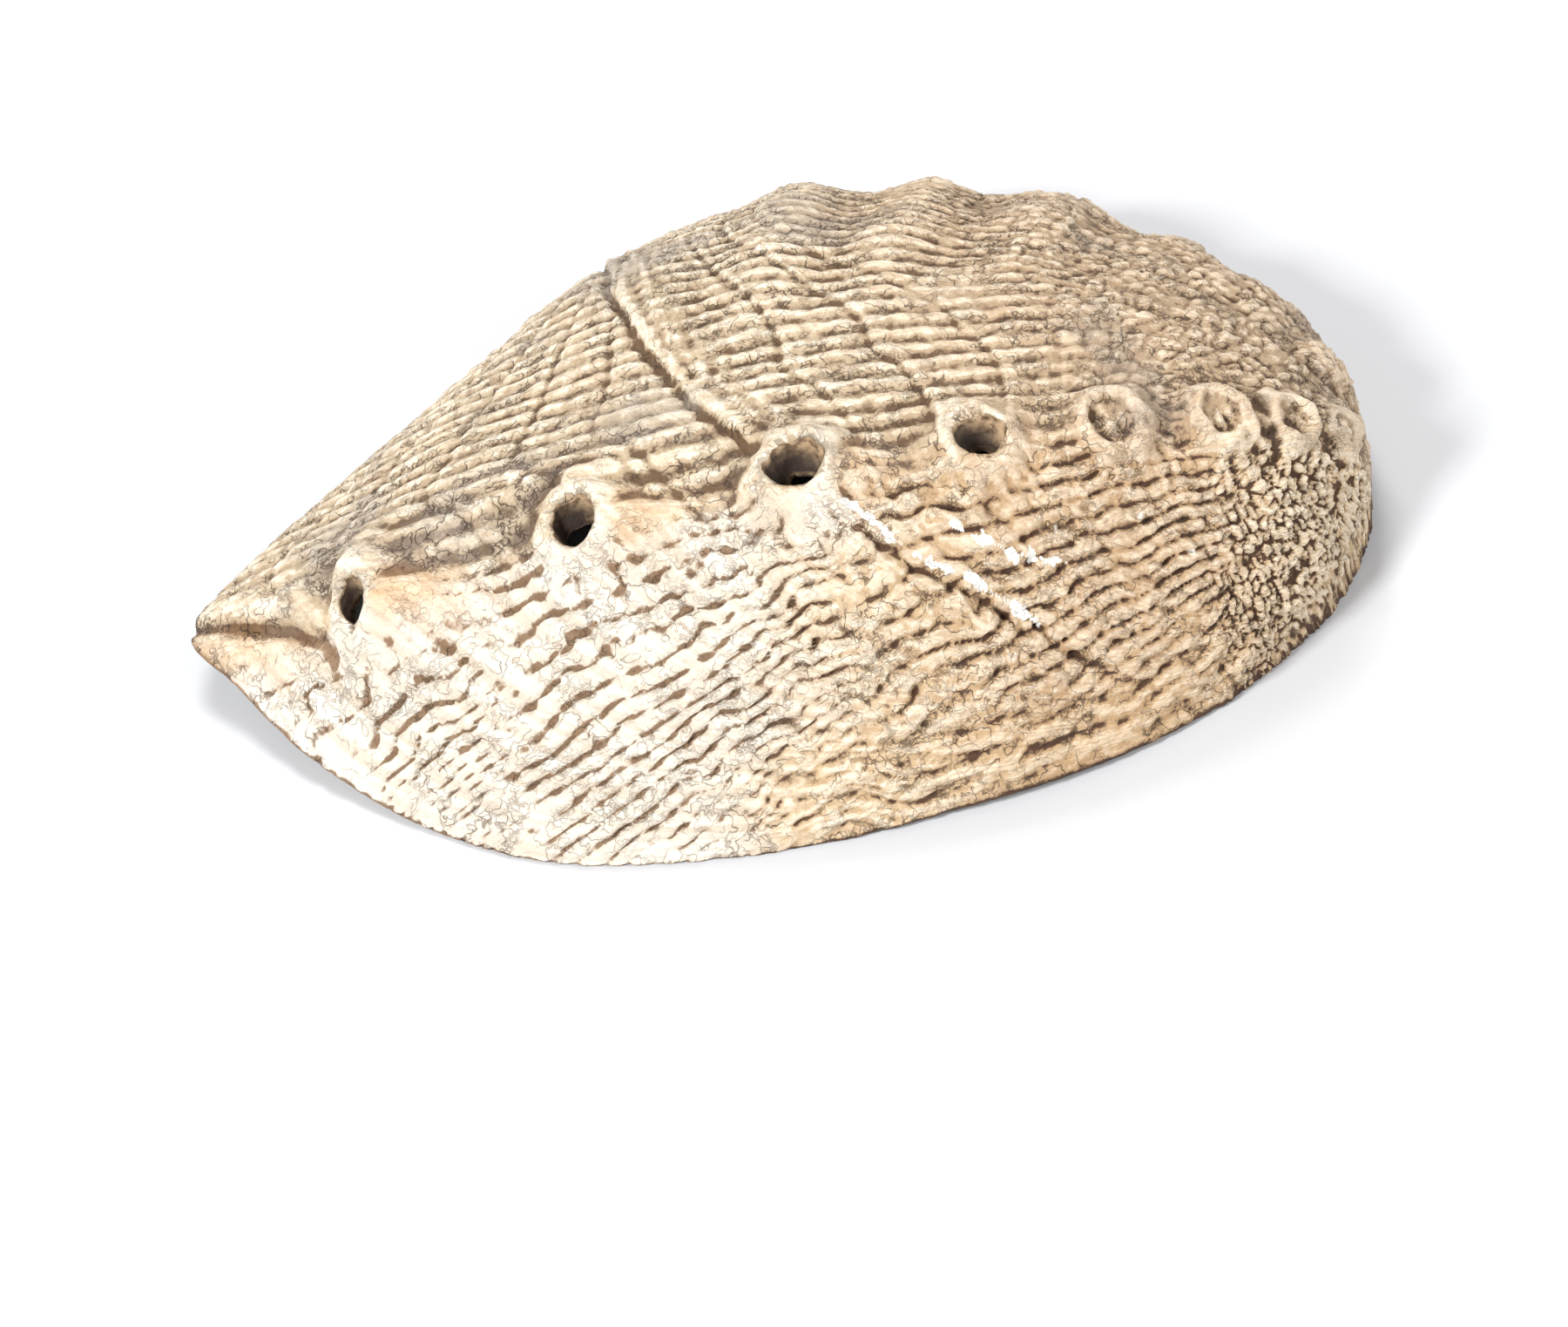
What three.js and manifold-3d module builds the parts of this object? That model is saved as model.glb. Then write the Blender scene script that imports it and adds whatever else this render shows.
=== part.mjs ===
// An abalone shell: one grown cup, mouth down, with a spiral row of breathing tubes.
// Millimetres, +Z up. -X is the growing edge, +X the spire, -Y the steep side with the tubes.
// The origin is at the middle of the shell's box, on the surface that it rests on.

import * as THREE from "three";
import { ParametricGeometry } from "three/addons/geometries/ParametricGeometry.js";
import { mergeVertices } from "three/addons/utils/BufferGeometryUtils.js";
import Module from "manifold-3d";

// The edge of the mouth, counter-clockwise from the growing tip: x, y and lift off the table.
// It is cut by the table along three lands and arches clear of it between them.
const EDGE = [
  [-59.5, 4.5, 4.5], [-57.5, -3, 3.6], [-53, -14, 2], [-45, -25, 0.4], [-34, -33.8, 0],
  [-16, -38.8, 0], [6, -40.2, 1], [24, -38, 0.8], [39, -32, 0], [51, -23.5, 0],
  [58.5, -11, 0], [60, 4, 0], [55, 19, 0], [45, 33, 0], [29, 43, 0.3],
  [11, 46.8, 0.8], [-8, 42.5, 0], [-21, 35, 0], [-36, 25.5, 0.9], [-50, 14.5, 2.8],
];
const EDGE_SAMPLES = 1200;

// The dome: its crown, and how it falls to the edge in each direction from there.
const CROWN = new THREE.Vector2(14, -14);
const CROWN_HEIGHT = 27;
const CROWN_WALL = 2.8;
const EDGE_WALL = 1.8;
const FALL = {
  spire: { power: 2.5, root: 0.5 },
  broad: { power: 2.3, root: 0.68 },
  front: { power: 2.2, root: 0.95 },
  steep: { power: 2.1, root: 0.9 },
};

// The spiral that the tubes stand on, from the growing edge back to the spire.
const SPIRE = new THREE.Vector2(55, -6);
const SPIRAL_REACH = 115.5;
const SPIRAL_START = 177;
const SPIRAL_TURN = 19;
const SPIRAL_CURL = 2.1;

// Each tube's place is its age: the shell was smaller by exp(-age) when it opened there.
const TUBES = [
  { age: 0.13, rim: 3.6, height: 2.2, bore: 1.9 },
  { age: 0.36, rim: 4.4, height: 3, bore: 2.5 },
  { age: 0.65, rim: 4.6, height: 3, bore: 2.6 },
  { age: 0.97, rim: 4, height: 2.4, bore: 2.2 },
  { age: 1.29, rim: 4.1, height: 1.9 },
  { age: 1.64, rim: 3.9, height: 2 },
  { age: 1.98, rim: 3.4, height: 1.9 },
  { age: 2.4, rim: 2.8, height: 1.6 },
];
const TUBE_SKIRT = 1.45;
const TUBE_ROOT = 1.4;
const BORE_DEPTH = 9;
const BORE_FLARE = 1.15;
const SPIRE_KNOB = { radius: 3.2, height: 1.8 };

const AROUND = 80;
const OUTER_RINGS = 18;
const INNER_RINGS = 12;
const RING_CROWDING = 1.5;
const TUBE_SIDES = 20;
const SLOPE_STEP = 0.5;
const SLIVER_AREA = 1e-6;

const SHELL_COLOR = 0xc9ad88;

const edgeCurve = new THREE.CatmullRomCurve3(
  EDGE.map(([x, y, lift]) => new THREE.Vector3(x, y, lift)), true, "catmullrom", 0.5);

const edgeTable = edgeCurve.getPoints(EDGE_SAMPLES).slice(1).map((point) => ({
  angle: Math.atan2(point.y - CROWN.y, point.x - CROWN.x),
  radius: Math.hypot(point.x - CROWN.x, point.y - CROWN.y),
  lift: Math.max(0, point.z),
})).sort((a, b) => a.angle - b.angle);

// Distance from the crown to the edge, and the edge's lift, in one direction.
function edgeToward(angle) {
  const next = edgeTable.findIndex((entry) => entry.angle > angle);
  const after = edgeTable[next < 0 ? 0 : next];
  const before = edgeTable[(next < 0 ? edgeTable.length : next) - 1] ?? edgeTable.at(-1);
  const gap = THREE.MathUtils.euclideanModulo(after.angle - before.angle, 2 * Math.PI);
  const part = THREE.MathUtils.euclideanModulo(angle - before.angle, 2 * Math.PI) / gap;
  return {
    radius: THREE.MathUtils.lerp(before.radius, after.radius, part),
    lift: THREE.MathUtils.lerp(before.lift, after.lift, part),
  };
}

// Share of the crown's height left at a reach of 0 (crown) to 1 (edge) in one direction.
function fall(reach, angle) {
  const alongX = Math.cos(angle) > 0 ? FALL.spire : FALL.front;
  const alongY = Math.sin(angle) > 0 ? FALL.broad : FALL.steep;
  const mix = Math.sin(angle) ** 2;
  const power = THREE.MathUtils.lerp(alongX.power, alongY.power, mix);
  const root = THREE.MathUtils.lerp(alongX.root, alongY.root, mix);
  return Math.max(0, 1 - reach ** power) ** root;
}

// A point of the outer surface (wall of 0) or of the inner one.
function domePoint(reach, angle, crownWall, edgeWall, target) {
  const { radius, lift } = edgeToward(angle);
  const inset = (radius - edgeWall) * reach;
  const height = lift + (CROWN_HEIGHT - crownWall - lift) * fall(reach, angle);
  return target.set(CROWN.x + inset * Math.cos(angle), CROWN.y + inset * Math.sin(angle), height);
}

// Rings crowd towards the edge, where the wall is steepest.
function ringReach(share) {
  return 1 - (1 - share) ** RING_CROWDING;
}

// The cup: out over the dome to the edge, across the flat rim, and back inside to the crown.
function cupGeometry() {
  const stacks = OUTER_RINGS + 1 + INNER_RINGS;
  const place = (around, along, target) => {
    const angle = Math.PI - THREE.MathUtils.euclideanModulo(around, 1) * 2 * Math.PI;
    const ring = Math.round(along * stacks);
    if (ring <= OUTER_RINGS) {
      domePoint(ringReach(ring / OUTER_RINGS), angle, 0, 0, target);
    } else {
      domePoint(ringReach((stacks - ring) / INNER_RINGS), angle, CROWN_WALL, EDGE_WALL, target);
    }
  };
  return new ParametricGeometry(place, AROUND, stacks);
}

// A place on the outer surface straight above a point of the plan, with its outward normal.
function surfaceAt(x, y) {
  const heightAt = (px, py) => {
    const angle = Math.atan2(py - CROWN.y, px - CROWN.x);
    const reach = Math.hypot(px - CROWN.x, py - CROWN.y) / edgeToward(angle).radius;
    return domePoint(Math.min(1, reach), angle, 0, 0, new THREE.Vector3()).z;
  };
  const slopeX = (heightAt(x + SLOPE_STEP, y) - heightAt(x - SLOPE_STEP, y)) / (2 * SLOPE_STEP);
  const slopeY = (heightAt(x, y + SLOPE_STEP) - heightAt(x, y - SLOPE_STEP)) / (2 * SLOPE_STEP);
  return {
    point: new THREE.Vector3(x, y, heightAt(x, y)),
    normal: new THREE.Vector3(-slopeX, -slopeY, 1).normalize(),
  };
}

// A place on the tubes' spiral at a given age.
function spiralPlace(age) {
  const angle = THREE.MathUtils.degToRad(SPIRAL_START + SPIRAL_TURN * age + SPIRAL_CURL * age ** 3);
  const reach = SPIRAL_REACH * Math.exp(-age);
  return surfaceAt(SPIRE.x + reach * Math.cos(angle), SPIRE.y + reach * Math.sin(angle));
}

// Turns a shape made along +Y to stand on the surface.
function stand(geometry, { point, normal }) {
  const turn = new THREE.Quaternion().setFromUnitVectors(new THREE.Vector3(0, 1, 0), normal);
  return geometry.applyQuaternion(turn).translate(point.x, point.y, point.z);
}

// A tube's raised collar with a worn lip, and a shallow dish where it has healed over.
function collarGeometry({ rim, height }) {
  const profile = [
    [0, -TUBE_ROOT], [TUBE_SKIRT * rim, -TUBE_ROOT], [1.28 * rim, 0.2 * height],
    [1.1 * rim, 0.75 * height], [0.92 * rim, height], [0.7 * rim, 0.95 * height], [0, 0.55 * height],
  ];
  return new THREE.LatheGeometry(profile.map(([r, h]) => new THREE.Vector2(r, h)), TUBE_SIDES);
}

// The cutter that opens a tube right through the wall, wider at the lip.
function boreGeometry({ bore, height }) {
  const length = BORE_DEPTH + height;
  const cutter = new THREE.CylinderGeometry(bore * BORE_FLARE, bore / BORE_FLARE, length, TUBE_SIDES);
  return cutter.translate(0, height + 1 - length / 2, 0);
}

// The first whorl: a low button on the spire.
function knobGeometry({ radius, height }) {
  return new THREE.SphereGeometry(radius, TUBE_SIDES, 10).scale(1, height / radius, 1);
}

const wasm = await Module();
wasm.setup();

// Merges shared corners and drops the collapsed triangles at the poles.
function toSolid(geometry) {
  const bare = new THREE.BufferGeometry();
  bare.setAttribute("position", geometry.getAttribute("position"));
  bare.setIndex(geometry.getIndex());
  const merged = mergeVertices(bare, 1e-4);
  const position = merged.getAttribute("position");
  const index = merged.getIndex();
  const face = new THREE.Triangle();
  const kept = [];
  for (let i = 0; i < index.count; i += 3) {
    const corners = [index.getX(i), index.getX(i + 1), index.getX(i + 2)];
    face.setFromAttributeAndIndices(position, ...corners);
    if (new Set(corners).size === 3 && face.getArea() > SLIVER_AREA) kept.push(...corners);
  }
  return new wasm.Manifold(new wasm.Mesh({
    numProp: 3,
    vertProperties: new Float32Array(position.array),
    triVerts: new Uint32Array(kept),
  }));
}

// The finished solid as a geometry to show and export.
function toGeometry(solid) {
  const { vertProperties, triVerts } = solid.getMesh();
  const geometry = new THREE.BufferGeometry();
  geometry.setAttribute("position", new THREE.BufferAttribute(vertProperties, 3));
  geometry.setIndex(new THREE.BufferAttribute(triVerts, 1));
  return geometry;
}

let solid = toSolid(cupGeometry());
solid = solid.add(toSolid(stand(knobGeometry(SPIRE_KNOB), surfaceAt(SPIRE.x, SPIRE.y))));
for (const tube of TUBES) {
  solid = solid.add(toSolid(stand(collarGeometry(tube), spiralPlace(tube.age))));
}
for (const tube of TUBES.filter(({ bore }) => bore)) {
  solid = solid.subtract(toSolid(stand(boreGeometry(tube), spiralPlace(tube.age))));
}

const geometry = toGeometry(solid);
geometry.computeBoundingBox();
const { min, max } = geometry.boundingBox;
geometry.translate(-(min.x + max.x) / 2, -(min.y + max.y) / 2, -min.z);
geometry.computeVertexNormals();

const shell = new THREE.Mesh(geometry, new THREE.MeshStandardMaterial({
  color: SHELL_COLOR, roughness: 0.7, metalness: 0,
}));
shell.name = "shell";

const abalone = new THREE.Group();
abalone.add(shell);

export default abalone;
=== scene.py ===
"""The looks of an abalone shell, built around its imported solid.

The shell is one grown piece. Its cup is the same dome and edge as the solid's. Over it lie the
marks of growth: cords that run from the spire to the growing edge, growth lines that are earlier
edges, one deep rest line, pebbles round the spire, and the row of breathing tubes.

Shapes are worked out in millimetres, in the maker's frame, and moved into the solid's box at the end.
"""

import logging
import math
from dataclasses import dataclass, field
from enum import Enum

import bpy
import numpy as np
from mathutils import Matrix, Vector


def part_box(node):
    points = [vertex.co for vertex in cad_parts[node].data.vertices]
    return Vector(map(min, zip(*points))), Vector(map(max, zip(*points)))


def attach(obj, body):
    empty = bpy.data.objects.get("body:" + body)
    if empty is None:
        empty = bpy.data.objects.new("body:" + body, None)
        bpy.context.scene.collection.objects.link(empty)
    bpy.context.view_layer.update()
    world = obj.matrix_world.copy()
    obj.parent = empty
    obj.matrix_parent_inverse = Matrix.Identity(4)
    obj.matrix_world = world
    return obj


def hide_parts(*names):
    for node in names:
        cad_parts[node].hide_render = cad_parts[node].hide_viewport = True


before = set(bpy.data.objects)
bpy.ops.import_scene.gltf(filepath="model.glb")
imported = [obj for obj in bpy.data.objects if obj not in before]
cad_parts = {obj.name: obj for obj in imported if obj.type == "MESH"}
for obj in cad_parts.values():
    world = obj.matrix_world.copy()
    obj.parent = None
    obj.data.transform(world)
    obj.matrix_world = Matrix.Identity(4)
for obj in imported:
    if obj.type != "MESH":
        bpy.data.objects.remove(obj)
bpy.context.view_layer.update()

MM = 0.001
TAU = 2.0 * math.pi

log = logging.getLogger("abalone")

Array = np.ndarray


def smooth(low: float, high: float, value: Array) -> Array:
    """Eases from 0 at low to 1 at high.

    Args:
        low: where the ease starts.
        high: where it ends; it may be below low.
        value: the values to ease.

    Returns:
        The eased values, 0 to 1.
    """
    t = np.clip((value - low) / (high - low), 0.0, 1.0)
    return t * t * (3.0 - 2.0 * t)


def bell(value: Array, width: float) -> Array:
    """A bell of height 1 round zero."""
    return np.exp(-((value / width) ** 2))


def paint(code: str) -> tuple[float, float, float, float]:
    """Turns a six-digit paint code into a linear colour.

    Args:
        code: red, green and blue as hex digits, such as "c9ad88".

    Returns:
        The linear colour with full alpha.
    """
    shades = [int(code[i:i + 2], 16) / 255.0 for i in (0, 2, 4)]
    linear = [s / 12.92 if s <= 0.04045 else ((s + 0.055) / 1.055) ** 2.4 for s in shades]
    return (linear[0], linear[1], linear[2], 1.0)


class Lattice:
    """Seeded noise on a plane: smooth hills, and cells for pebbles and nodules."""

    SIZE = 256

    def __init__(self, seed: int) -> None:
        """Shuffles the lattice.

        Args:
            seed: picks the pattern.
        """
        rng = np.random.default_rng(seed)
        self.order = rng.permutation(self.SIZE)
        turn = rng.random(self.SIZE) * TAU
        self.slopes = np.stack([np.cos(turn), np.sin(turn)], axis=-1)
        self.jitter = rng.random((self.SIZE, 2))
        self.level = rng.random(self.SIZE)

    def _pick(self, ix: Array, iy: Array) -> Array:
        """The shuffled number of a lattice point."""
        mask = self.SIZE - 1
        return self.order[(self.order[ix & mask] + iy) & mask]

    def hills(self, x: Array, y: Array) -> Array:
        """Smooth noise of about -1 to 1.

        Args:
            x: first coordinate, in hill widths.
            y: second coordinate, in hill widths.

        Returns:
            The height of the noise.
        """
        ix, iy = np.floor(x).astype(int), np.floor(y).astype(int)
        fx, fy = x - ix, y - iy
        total = np.zeros_like(fx)
        for cx in (0, 1):
            for cy in (0, 1):
                slope = self.slopes[self._pick(ix + cx, iy + cy)]
                push = slope[..., 0] * (fx - cx) + slope[..., 1] * (fy - cy)
                wx = 1.0 - smooth(0.0, 1.0, np.abs(fx - cx))
                wy = 1.0 - smooth(0.0, 1.0, np.abs(fy - cy))
                total += push * wx * wy
        return 1.6 * total

    def rough(self, x: Array, y: Array, octaves: int = 3) -> Array:
        """Hills with smaller hills on them.

        Args:
            x: first coordinate, in widths of the largest hills.
            y: second coordinate.
            octaves: how many sizes of hill.

        Returns:
            The height of the noise.
        """
        total, weight = np.zeros_like(x, dtype=float), 1.0
        for octave in range(octaves):
            total += weight * self.hills(x * 2.0 ** octave + 17.3 * octave, y * 2.0 ** octave)
            weight *= 0.5
        return total

    def cells(self, x: Array, y: Array) -> tuple[Array, Array]:
        """Pebbles packed on a plane.

        Args:
            x: first coordinate, in pebble widths.
            y: second coordinate, in pebble widths.

        Returns:
            How far inside its pebble each point lies, 0 at the gap, and the pebble's own level.
        """
        ix, iy = np.floor(x).astype(int), np.floor(y).astype(int)
        near = np.full(x.shape, 9.0)
        second = np.full(x.shape, 9.0)
        level = np.zeros(x.shape)
        for cx in (-1, 0, 1):
            for cy in (-1, 0, 1):
                pick = self._pick(ix + cx, iy + cy)
                dx = ix + cx + self.jitter[pick, 0] - x
                dy = iy + cy + self.jitter[pick, 1] - y
                gap = np.hypot(dx, dy)
                closer = gap < near
                second = np.where(closer, near, np.minimum(second, gap))
                level = np.where(closer, self.level[pick], level)
                near = np.where(closer, gap, near)
        return second - near, level


@dataclass
class ShellForm:
    """The bare cup: the edge of its mouth and the dome over it."""

    edge: tuple[tuple[float, float, float], ...] = (
        (-59.5, 4.5, 4.5), (-57.5, -3, 3.6), (-53, -14, 2), (-45, -25, 0.4), (-34, -33.8, 0),
        (-16, -38.8, 0), (6, -40.2, 1), (24, -38, 0.8), (39, -32, 0), (51, -23.5, 0),
        (58.5, -11, 0), (60, 4, 0), (55, 19, 0), (45, 33, 0), (29, 43, 0.3),
        (11, 46.8, 0.8), (-8, 42.5, 0), (-21, 35, 0), (-36, 25.5, 0.9), (-50, 14.5, 2.8),
    )
    crown: tuple[float, float] = (14.0, -14.0)
    crown_height: float = 27.0
    crown_wall: float = 2.8
    edge_wall: float = 1.5
    powers: tuple[float, float, float, float] = (2.5, 2.3, 2.2, 2.1)
    roots: tuple[float, float, float, float] = (0.5, 0.68, 0.95, 0.9)
    steps_per_span: int = 60

    def __post_init__(self) -> None:
        """Samples the edge curve into a table by direction from the crown."""
        points = np.array(self.edge, float)
        t = np.linspace(0.0, 1.0, self.steps_per_span, endpoint=False)[:, None]
        spans = []
        for i in range(len(points)):
            a, b, c, d = (points[(i + k) % len(points)] for k in (-1, 0, 1, 2))
            spans.append(0.5 * (2 * b + (c - a) * t + (2 * a - 5 * b + 4 * c - d) * t ** 2
                                + (3 * b - a - 3 * c + d) * t ** 3))
        curve = np.concatenate(spans)
        offset = curve[:, :2] - self.crown
        angle = np.arctan2(offset[:, 1], offset[:, 0])
        order = np.argsort(angle)
        self._angle = angle[order]
        self._radius = np.hypot(offset[:, 0], offset[:, 1])[order]
        self._lift = np.maximum(curve[:, 2], 0.0)[order]

    def edge_toward(self, angle: Array) -> tuple[Array, Array]:
        """The edge in a direction from the crown.

        Args:
            angle: the direction in plan.

        Returns:
            Its distance from the crown, and its lift off the table.
        """
        radius = np.interp(angle, self._angle, self._radius, period=TAU)
        return radius, np.interp(angle, self._angle, self._lift, period=TAU)

    def fall(self, reach: Array, angle: Array) -> Array:
        """Share of the crown's height that is left.

        Args:
            reach: 0 at the crown to 1 at the edge.
            angle: the direction in plan.

        Returns:
            The share, 1 at the crown to 0 at the edge.
        """
        mix = np.sin(angle) ** 2
        ahead, aside = np.cos(angle) > 0, np.sin(angle) > 0
        shape = []
        for spire, broad, front, steep in (self.powers, self.roots):
            shape.append(np.where(ahead, spire, front) * (1 - mix) + np.where(aside, broad, steep) * mix)
        return np.maximum(0.0, 1.0 - reach ** shape[0]) ** shape[1]

    def surface(self, reach: Array, angle: Array, crown_wall: float, edge_wall: float) -> Array:
        """Points of the dome's outside (walls of 0) or inside.

        Args:
            reach: 0 at the crown to 1 at the edge.
            angle: the direction in plan.
            crown_wall: how far the crown is lowered.
            edge_wall: how far the edge is drawn in.

        Returns:
            An array of x, y and z.
        """
        radius, lift = self.edge_toward(angle)
        out = (radius - edge_wall) * reach
        height = lift + (self.crown_height - crown_wall - lift) * self.fall(reach, angle)
        x, y = self.crown[0] + out * np.cos(angle), self.crown[1] + out * np.sin(angle)
        return np.stack([x, y, height], -1)

    def height(self, x: Array, y: Array) -> Array:
        """Height of the outside over points of the plan."""
        angle = np.arctan2(y - self.crown[1], x - self.crown[0])
        reach = np.hypot(x - self.crown[0], y - self.crown[1]) / self.edge_toward(angle)[0]
        return self.surface(np.minimum(reach, 1.0), angle, 0.0, 0.0)[..., 2]

    def normal(self, x: float, y: float) -> Array:
        """The outward normal over one point of the plan."""
        step = 0.5
        east, west, north, south = self.height(np.array([x + step, x - step, x, x]),
                                               np.array([y, y, y + step, y - step]))
        vector = np.array([west - east, south - north, 2 * step])
        return vector / np.linalg.norm(vector)


@dataclass
class Spiral:
    """The line that the tubes stand on, from the growing edge back to the spire."""

    spire: tuple[float, float] = (55.0, -6.0)
    reach: float = 115.5
    start: float = 177.0
    turn: float = 19.0
    curl: float = 2.1

    def place(self, age: Array) -> tuple[Array, Array]:
        """A place on the line.

        Args:
            age: the shell was smaller by exp(-age) when it grew there.

        Returns:
            x and y in plan.
        """
        age = np.asarray(age, float)
        angle = np.radians(self.start + self.turn * age + self.curl * age ** 3)
        out = self.reach * np.exp(-age)
        return self.spire[0] + out * np.cos(angle), self.spire[1] + out * np.sin(angle)


@dataclass
class Tube:
    """One breathing tube: a leaning collar, open or healed over."""

    age: float
    rim: float
    height: float
    bore: float = 0.0
    lean: float = 0.25
    buttress: float = 0.5
    reach: float = 9.0
    squeeze: float = 1.0
    tilt: float = 0.0


class GrowthMap:
    """Where each point of the dome lies along the cords and between the growth lines."""

    PITCH = 0.5
    SIDE_FADE = (27.0, 33.0)
    SIDE_GROWTH = 0.1
    FRONT = 178.0

    def __init__(self, form: ShellForm, spiral: Spiral) -> None:
        """Works the fields out on a plan raster.

        Args:
            form: the cup.
            spiral: the line of the tubes.
        """
        self.form = form
        self.spiral = spiral
        self.xs = np.arange(-63.0, 64.0, self.PITCH)
        self.ys = np.arange(-44.0, 51.0, self.PITCH)
        x, y = np.meshgrid(self.xs, self.ys, indexing="ij")
        z = form.height(x, y)
        slope_x, slope_y = np.gradient(z, self.PITCH)
        row_x, row_y = spiral.place(np.linspace(0.0, 2.4, 200))
        row = np.interp(self.xs, row_x, row_y)[:, None]
        arc = np.cumsum(np.sqrt(1.0 + slope_y ** 2), axis=1) * self.PITCH
        at_row = np.array([np.interp(r, self.ys, line) for r, line in zip(row[:, 0], arc)])[:, None]
        arc = arc - at_row
        broad = 1.42 * (1.0 - np.exp(-np.maximum(62.0 - x, 0.5) / 40.0))
        steep = 1.38 * (np.maximum(61.0 - x, 1.0) / 91.0) ** 0.75
        self.spread = np.where(y > row, broad, steep)
        self.across = arc / self.spread - 0.1 * (x - 10.0) * smooth(-1.0, -20.0, arc)
        self.arc = arc
        self.along = np.cumsum(np.sqrt(1.0 + slope_x ** 2), axis=0) * self.PITCH
        self.back = self._back(x, y)
        rate = np.hypot(*np.gradient(self.back, self.PITCH))
        self.rate = np.clip(rate, 0.3, 40.0)

    def _back(self, x: Array, y: Array) -> Array:
        """Distance grown since, in millimetres at the front of the shell."""
        dx, dy = x - self.spiral.spire[0], y - self.spiral.spire[1]
        angle = np.arctan2(dy, dx)
        ring = np.linspace(-math.pi, math.pi, 721)
        limit = np.array([self._rim_from_spire(a) for a in ring])
        ratio = np.clip(np.hypot(dx, dy) / np.interp(angle, ring, limit), 1e-3, 1.0)
        off = (np.degrees(angle) - self.FRONT + 180.0) % 360.0 - 180.0
        fade = np.where(off < 0, self.SIDE_FADE[0], self.SIDE_FADE[1])
        growth = self.SIDE_GROWTH + (1.0 - self.SIDE_GROWTH) * bell(off, fade)
        return self.spiral.reach * (1.0 - ratio ** (1.0 / growth))

    def _rim_from_spire(self, angle: float) -> float:
        """Distance from the spire to the edge in one direction."""
        low, high = 0.0, 130.0
        for _ in range(24):
            middle = 0.5 * (low + high)
            px = self.spiral.spire[0] + middle * math.cos(angle) - self.form.crown[0]
            py = self.spiral.spire[1] + middle * math.sin(angle) - self.form.crown[1]
            inside = math.hypot(px, py) < self.form.edge_toward(math.atan2(py, px))[0]
            low, high = (middle, high) if inside else (low, middle)
        return low

    def sample(self, name: str, x: Array, y: Array) -> Array:
        """Reads one of the fields.

        Args:
            name: across, arc, along, back, rate or spread.
            x: places in plan.
            y: places in plan.

        Returns:
            The field there.
        """
        grid = getattr(self, name)
        fx = np.clip((x - self.xs[0]) / self.PITCH, 0, len(self.xs) - 1.001)
        fy = np.clip((y - self.ys[0]) / self.PITCH, 0, len(self.ys) - 1.001)
        ix, iy = fx.astype(int), fy.astype(int)
        tx, ty = fx - ix, fy - iy
        return ((grid[ix, iy] * (1 - tx) + grid[ix + 1, iy] * tx) * (1 - ty)
                + (grid[ix, iy + 1] * (1 - tx) + grid[ix + 1, iy + 1] * tx) * ty)


@dataclass(frozen=True)
class Trace:
    """A line in plan that a mark of growth follows."""

    points: tuple[tuple[float, float], ...]

    def measure(self, x: Array, y: Array) -> tuple[Array, Array]:
        """Distances from the line.

        Args:
            x: places in plan.
            y: places in plan.

        Returns:
            The distance to the line, above 0 on its left hand, and the share of its length passed there.
        """
        nodes = np.array(self.points, float)
        lengths = np.hypot(*np.diff(nodes, axis=0).T)
        starts = np.concatenate([[0.0], np.cumsum(lengths)])
        best = np.full(x.shape, 1e9)
        side = np.zeros(x.shape)
        share = np.zeros(x.shape)
        for first, last, start, length in zip(nodes[:-1], nodes[1:], starts, lengths):
            dx, dy = (last - first) / length
            along = np.clip((x - first[0]) * dx + (y - first[1]) * dy, 0.0, length)
            off_x, off_y = x - first[0] - along * dx, y - first[1] - along * dy
            gap = np.hypot(off_x, off_y)
            closer = gap < best
            best = np.where(closer, gap, best)
            side = np.where(closer, np.where(dx * off_y - dy * off_x < 0, -1.0, 1.0), side)
            share = np.where(closer, (start + along) / starts[-1], share)
        return best * side, share


REST_LINE = Trace(((-3.5, 48.0), (-8.7, 25.9), (-10.6, 12.2), (-10.2, 1.7), (-9.0, -7.6), (-7.1, -12.2),
                   (-2.6, -21.6), (3.2, -27.3), (7.6, -29.7), (14.2, -33.6), (21.7, -35.5), (34.0, -36.5)))
SPOUT_FURROW = Trace(((-61.0, 5.6), (-59.0, 4.0), (-55.5, 0.2), (-51.9, -2.7), (-49.4, -6.2), (-48.4, -11.0),
                      (-47.3, -14.5)))
SPOUT_LOBE = Trace(((-60.0, 2.0), (-58.0, 0.4), (-54.8, -2.8), (-52.4, -6.0), (-51.6, -9.5)))
BLEACHED_STRIPS = (
    Trace(((-2.0, -20.5), (3.4, -26.6), (7.8, -29.0), (14.4, -32.9))),
    Trace(((7.2, -24.6), (9.6, -26.6), (12.6, -28.0), (18.3, -29.3))),
)
GUESTS = ((-3.9, -21.6, 0.7, True), (-28.4, -2.2, 1.0, False), (-27.2, -3.8, 0.8, False),
          (21.5, -33.0, 0.5, False), (10.5, -33.8, 0.6, True), (17.5, -27.0, 0.45, False),
          (26.0, -27.0, 0.5, False), (30.5, -29.0, 0.55, False), (-12.0, -30.0, 0.6, True))
BLEACHED_SPOTS = (((-14.0, -18.5), 4.5), ((-27.5, -16.5), 4.0), ((-38.0, -12.5), 5.5), ((-45.5, -9.5), 3.5),
                  ((-3.5, -21.5), 3.0), ((-20.0, -25.0), 5.0), ((-31.0, -22.0), 5.0), ((16.0, -24.0), 1.8))


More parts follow.
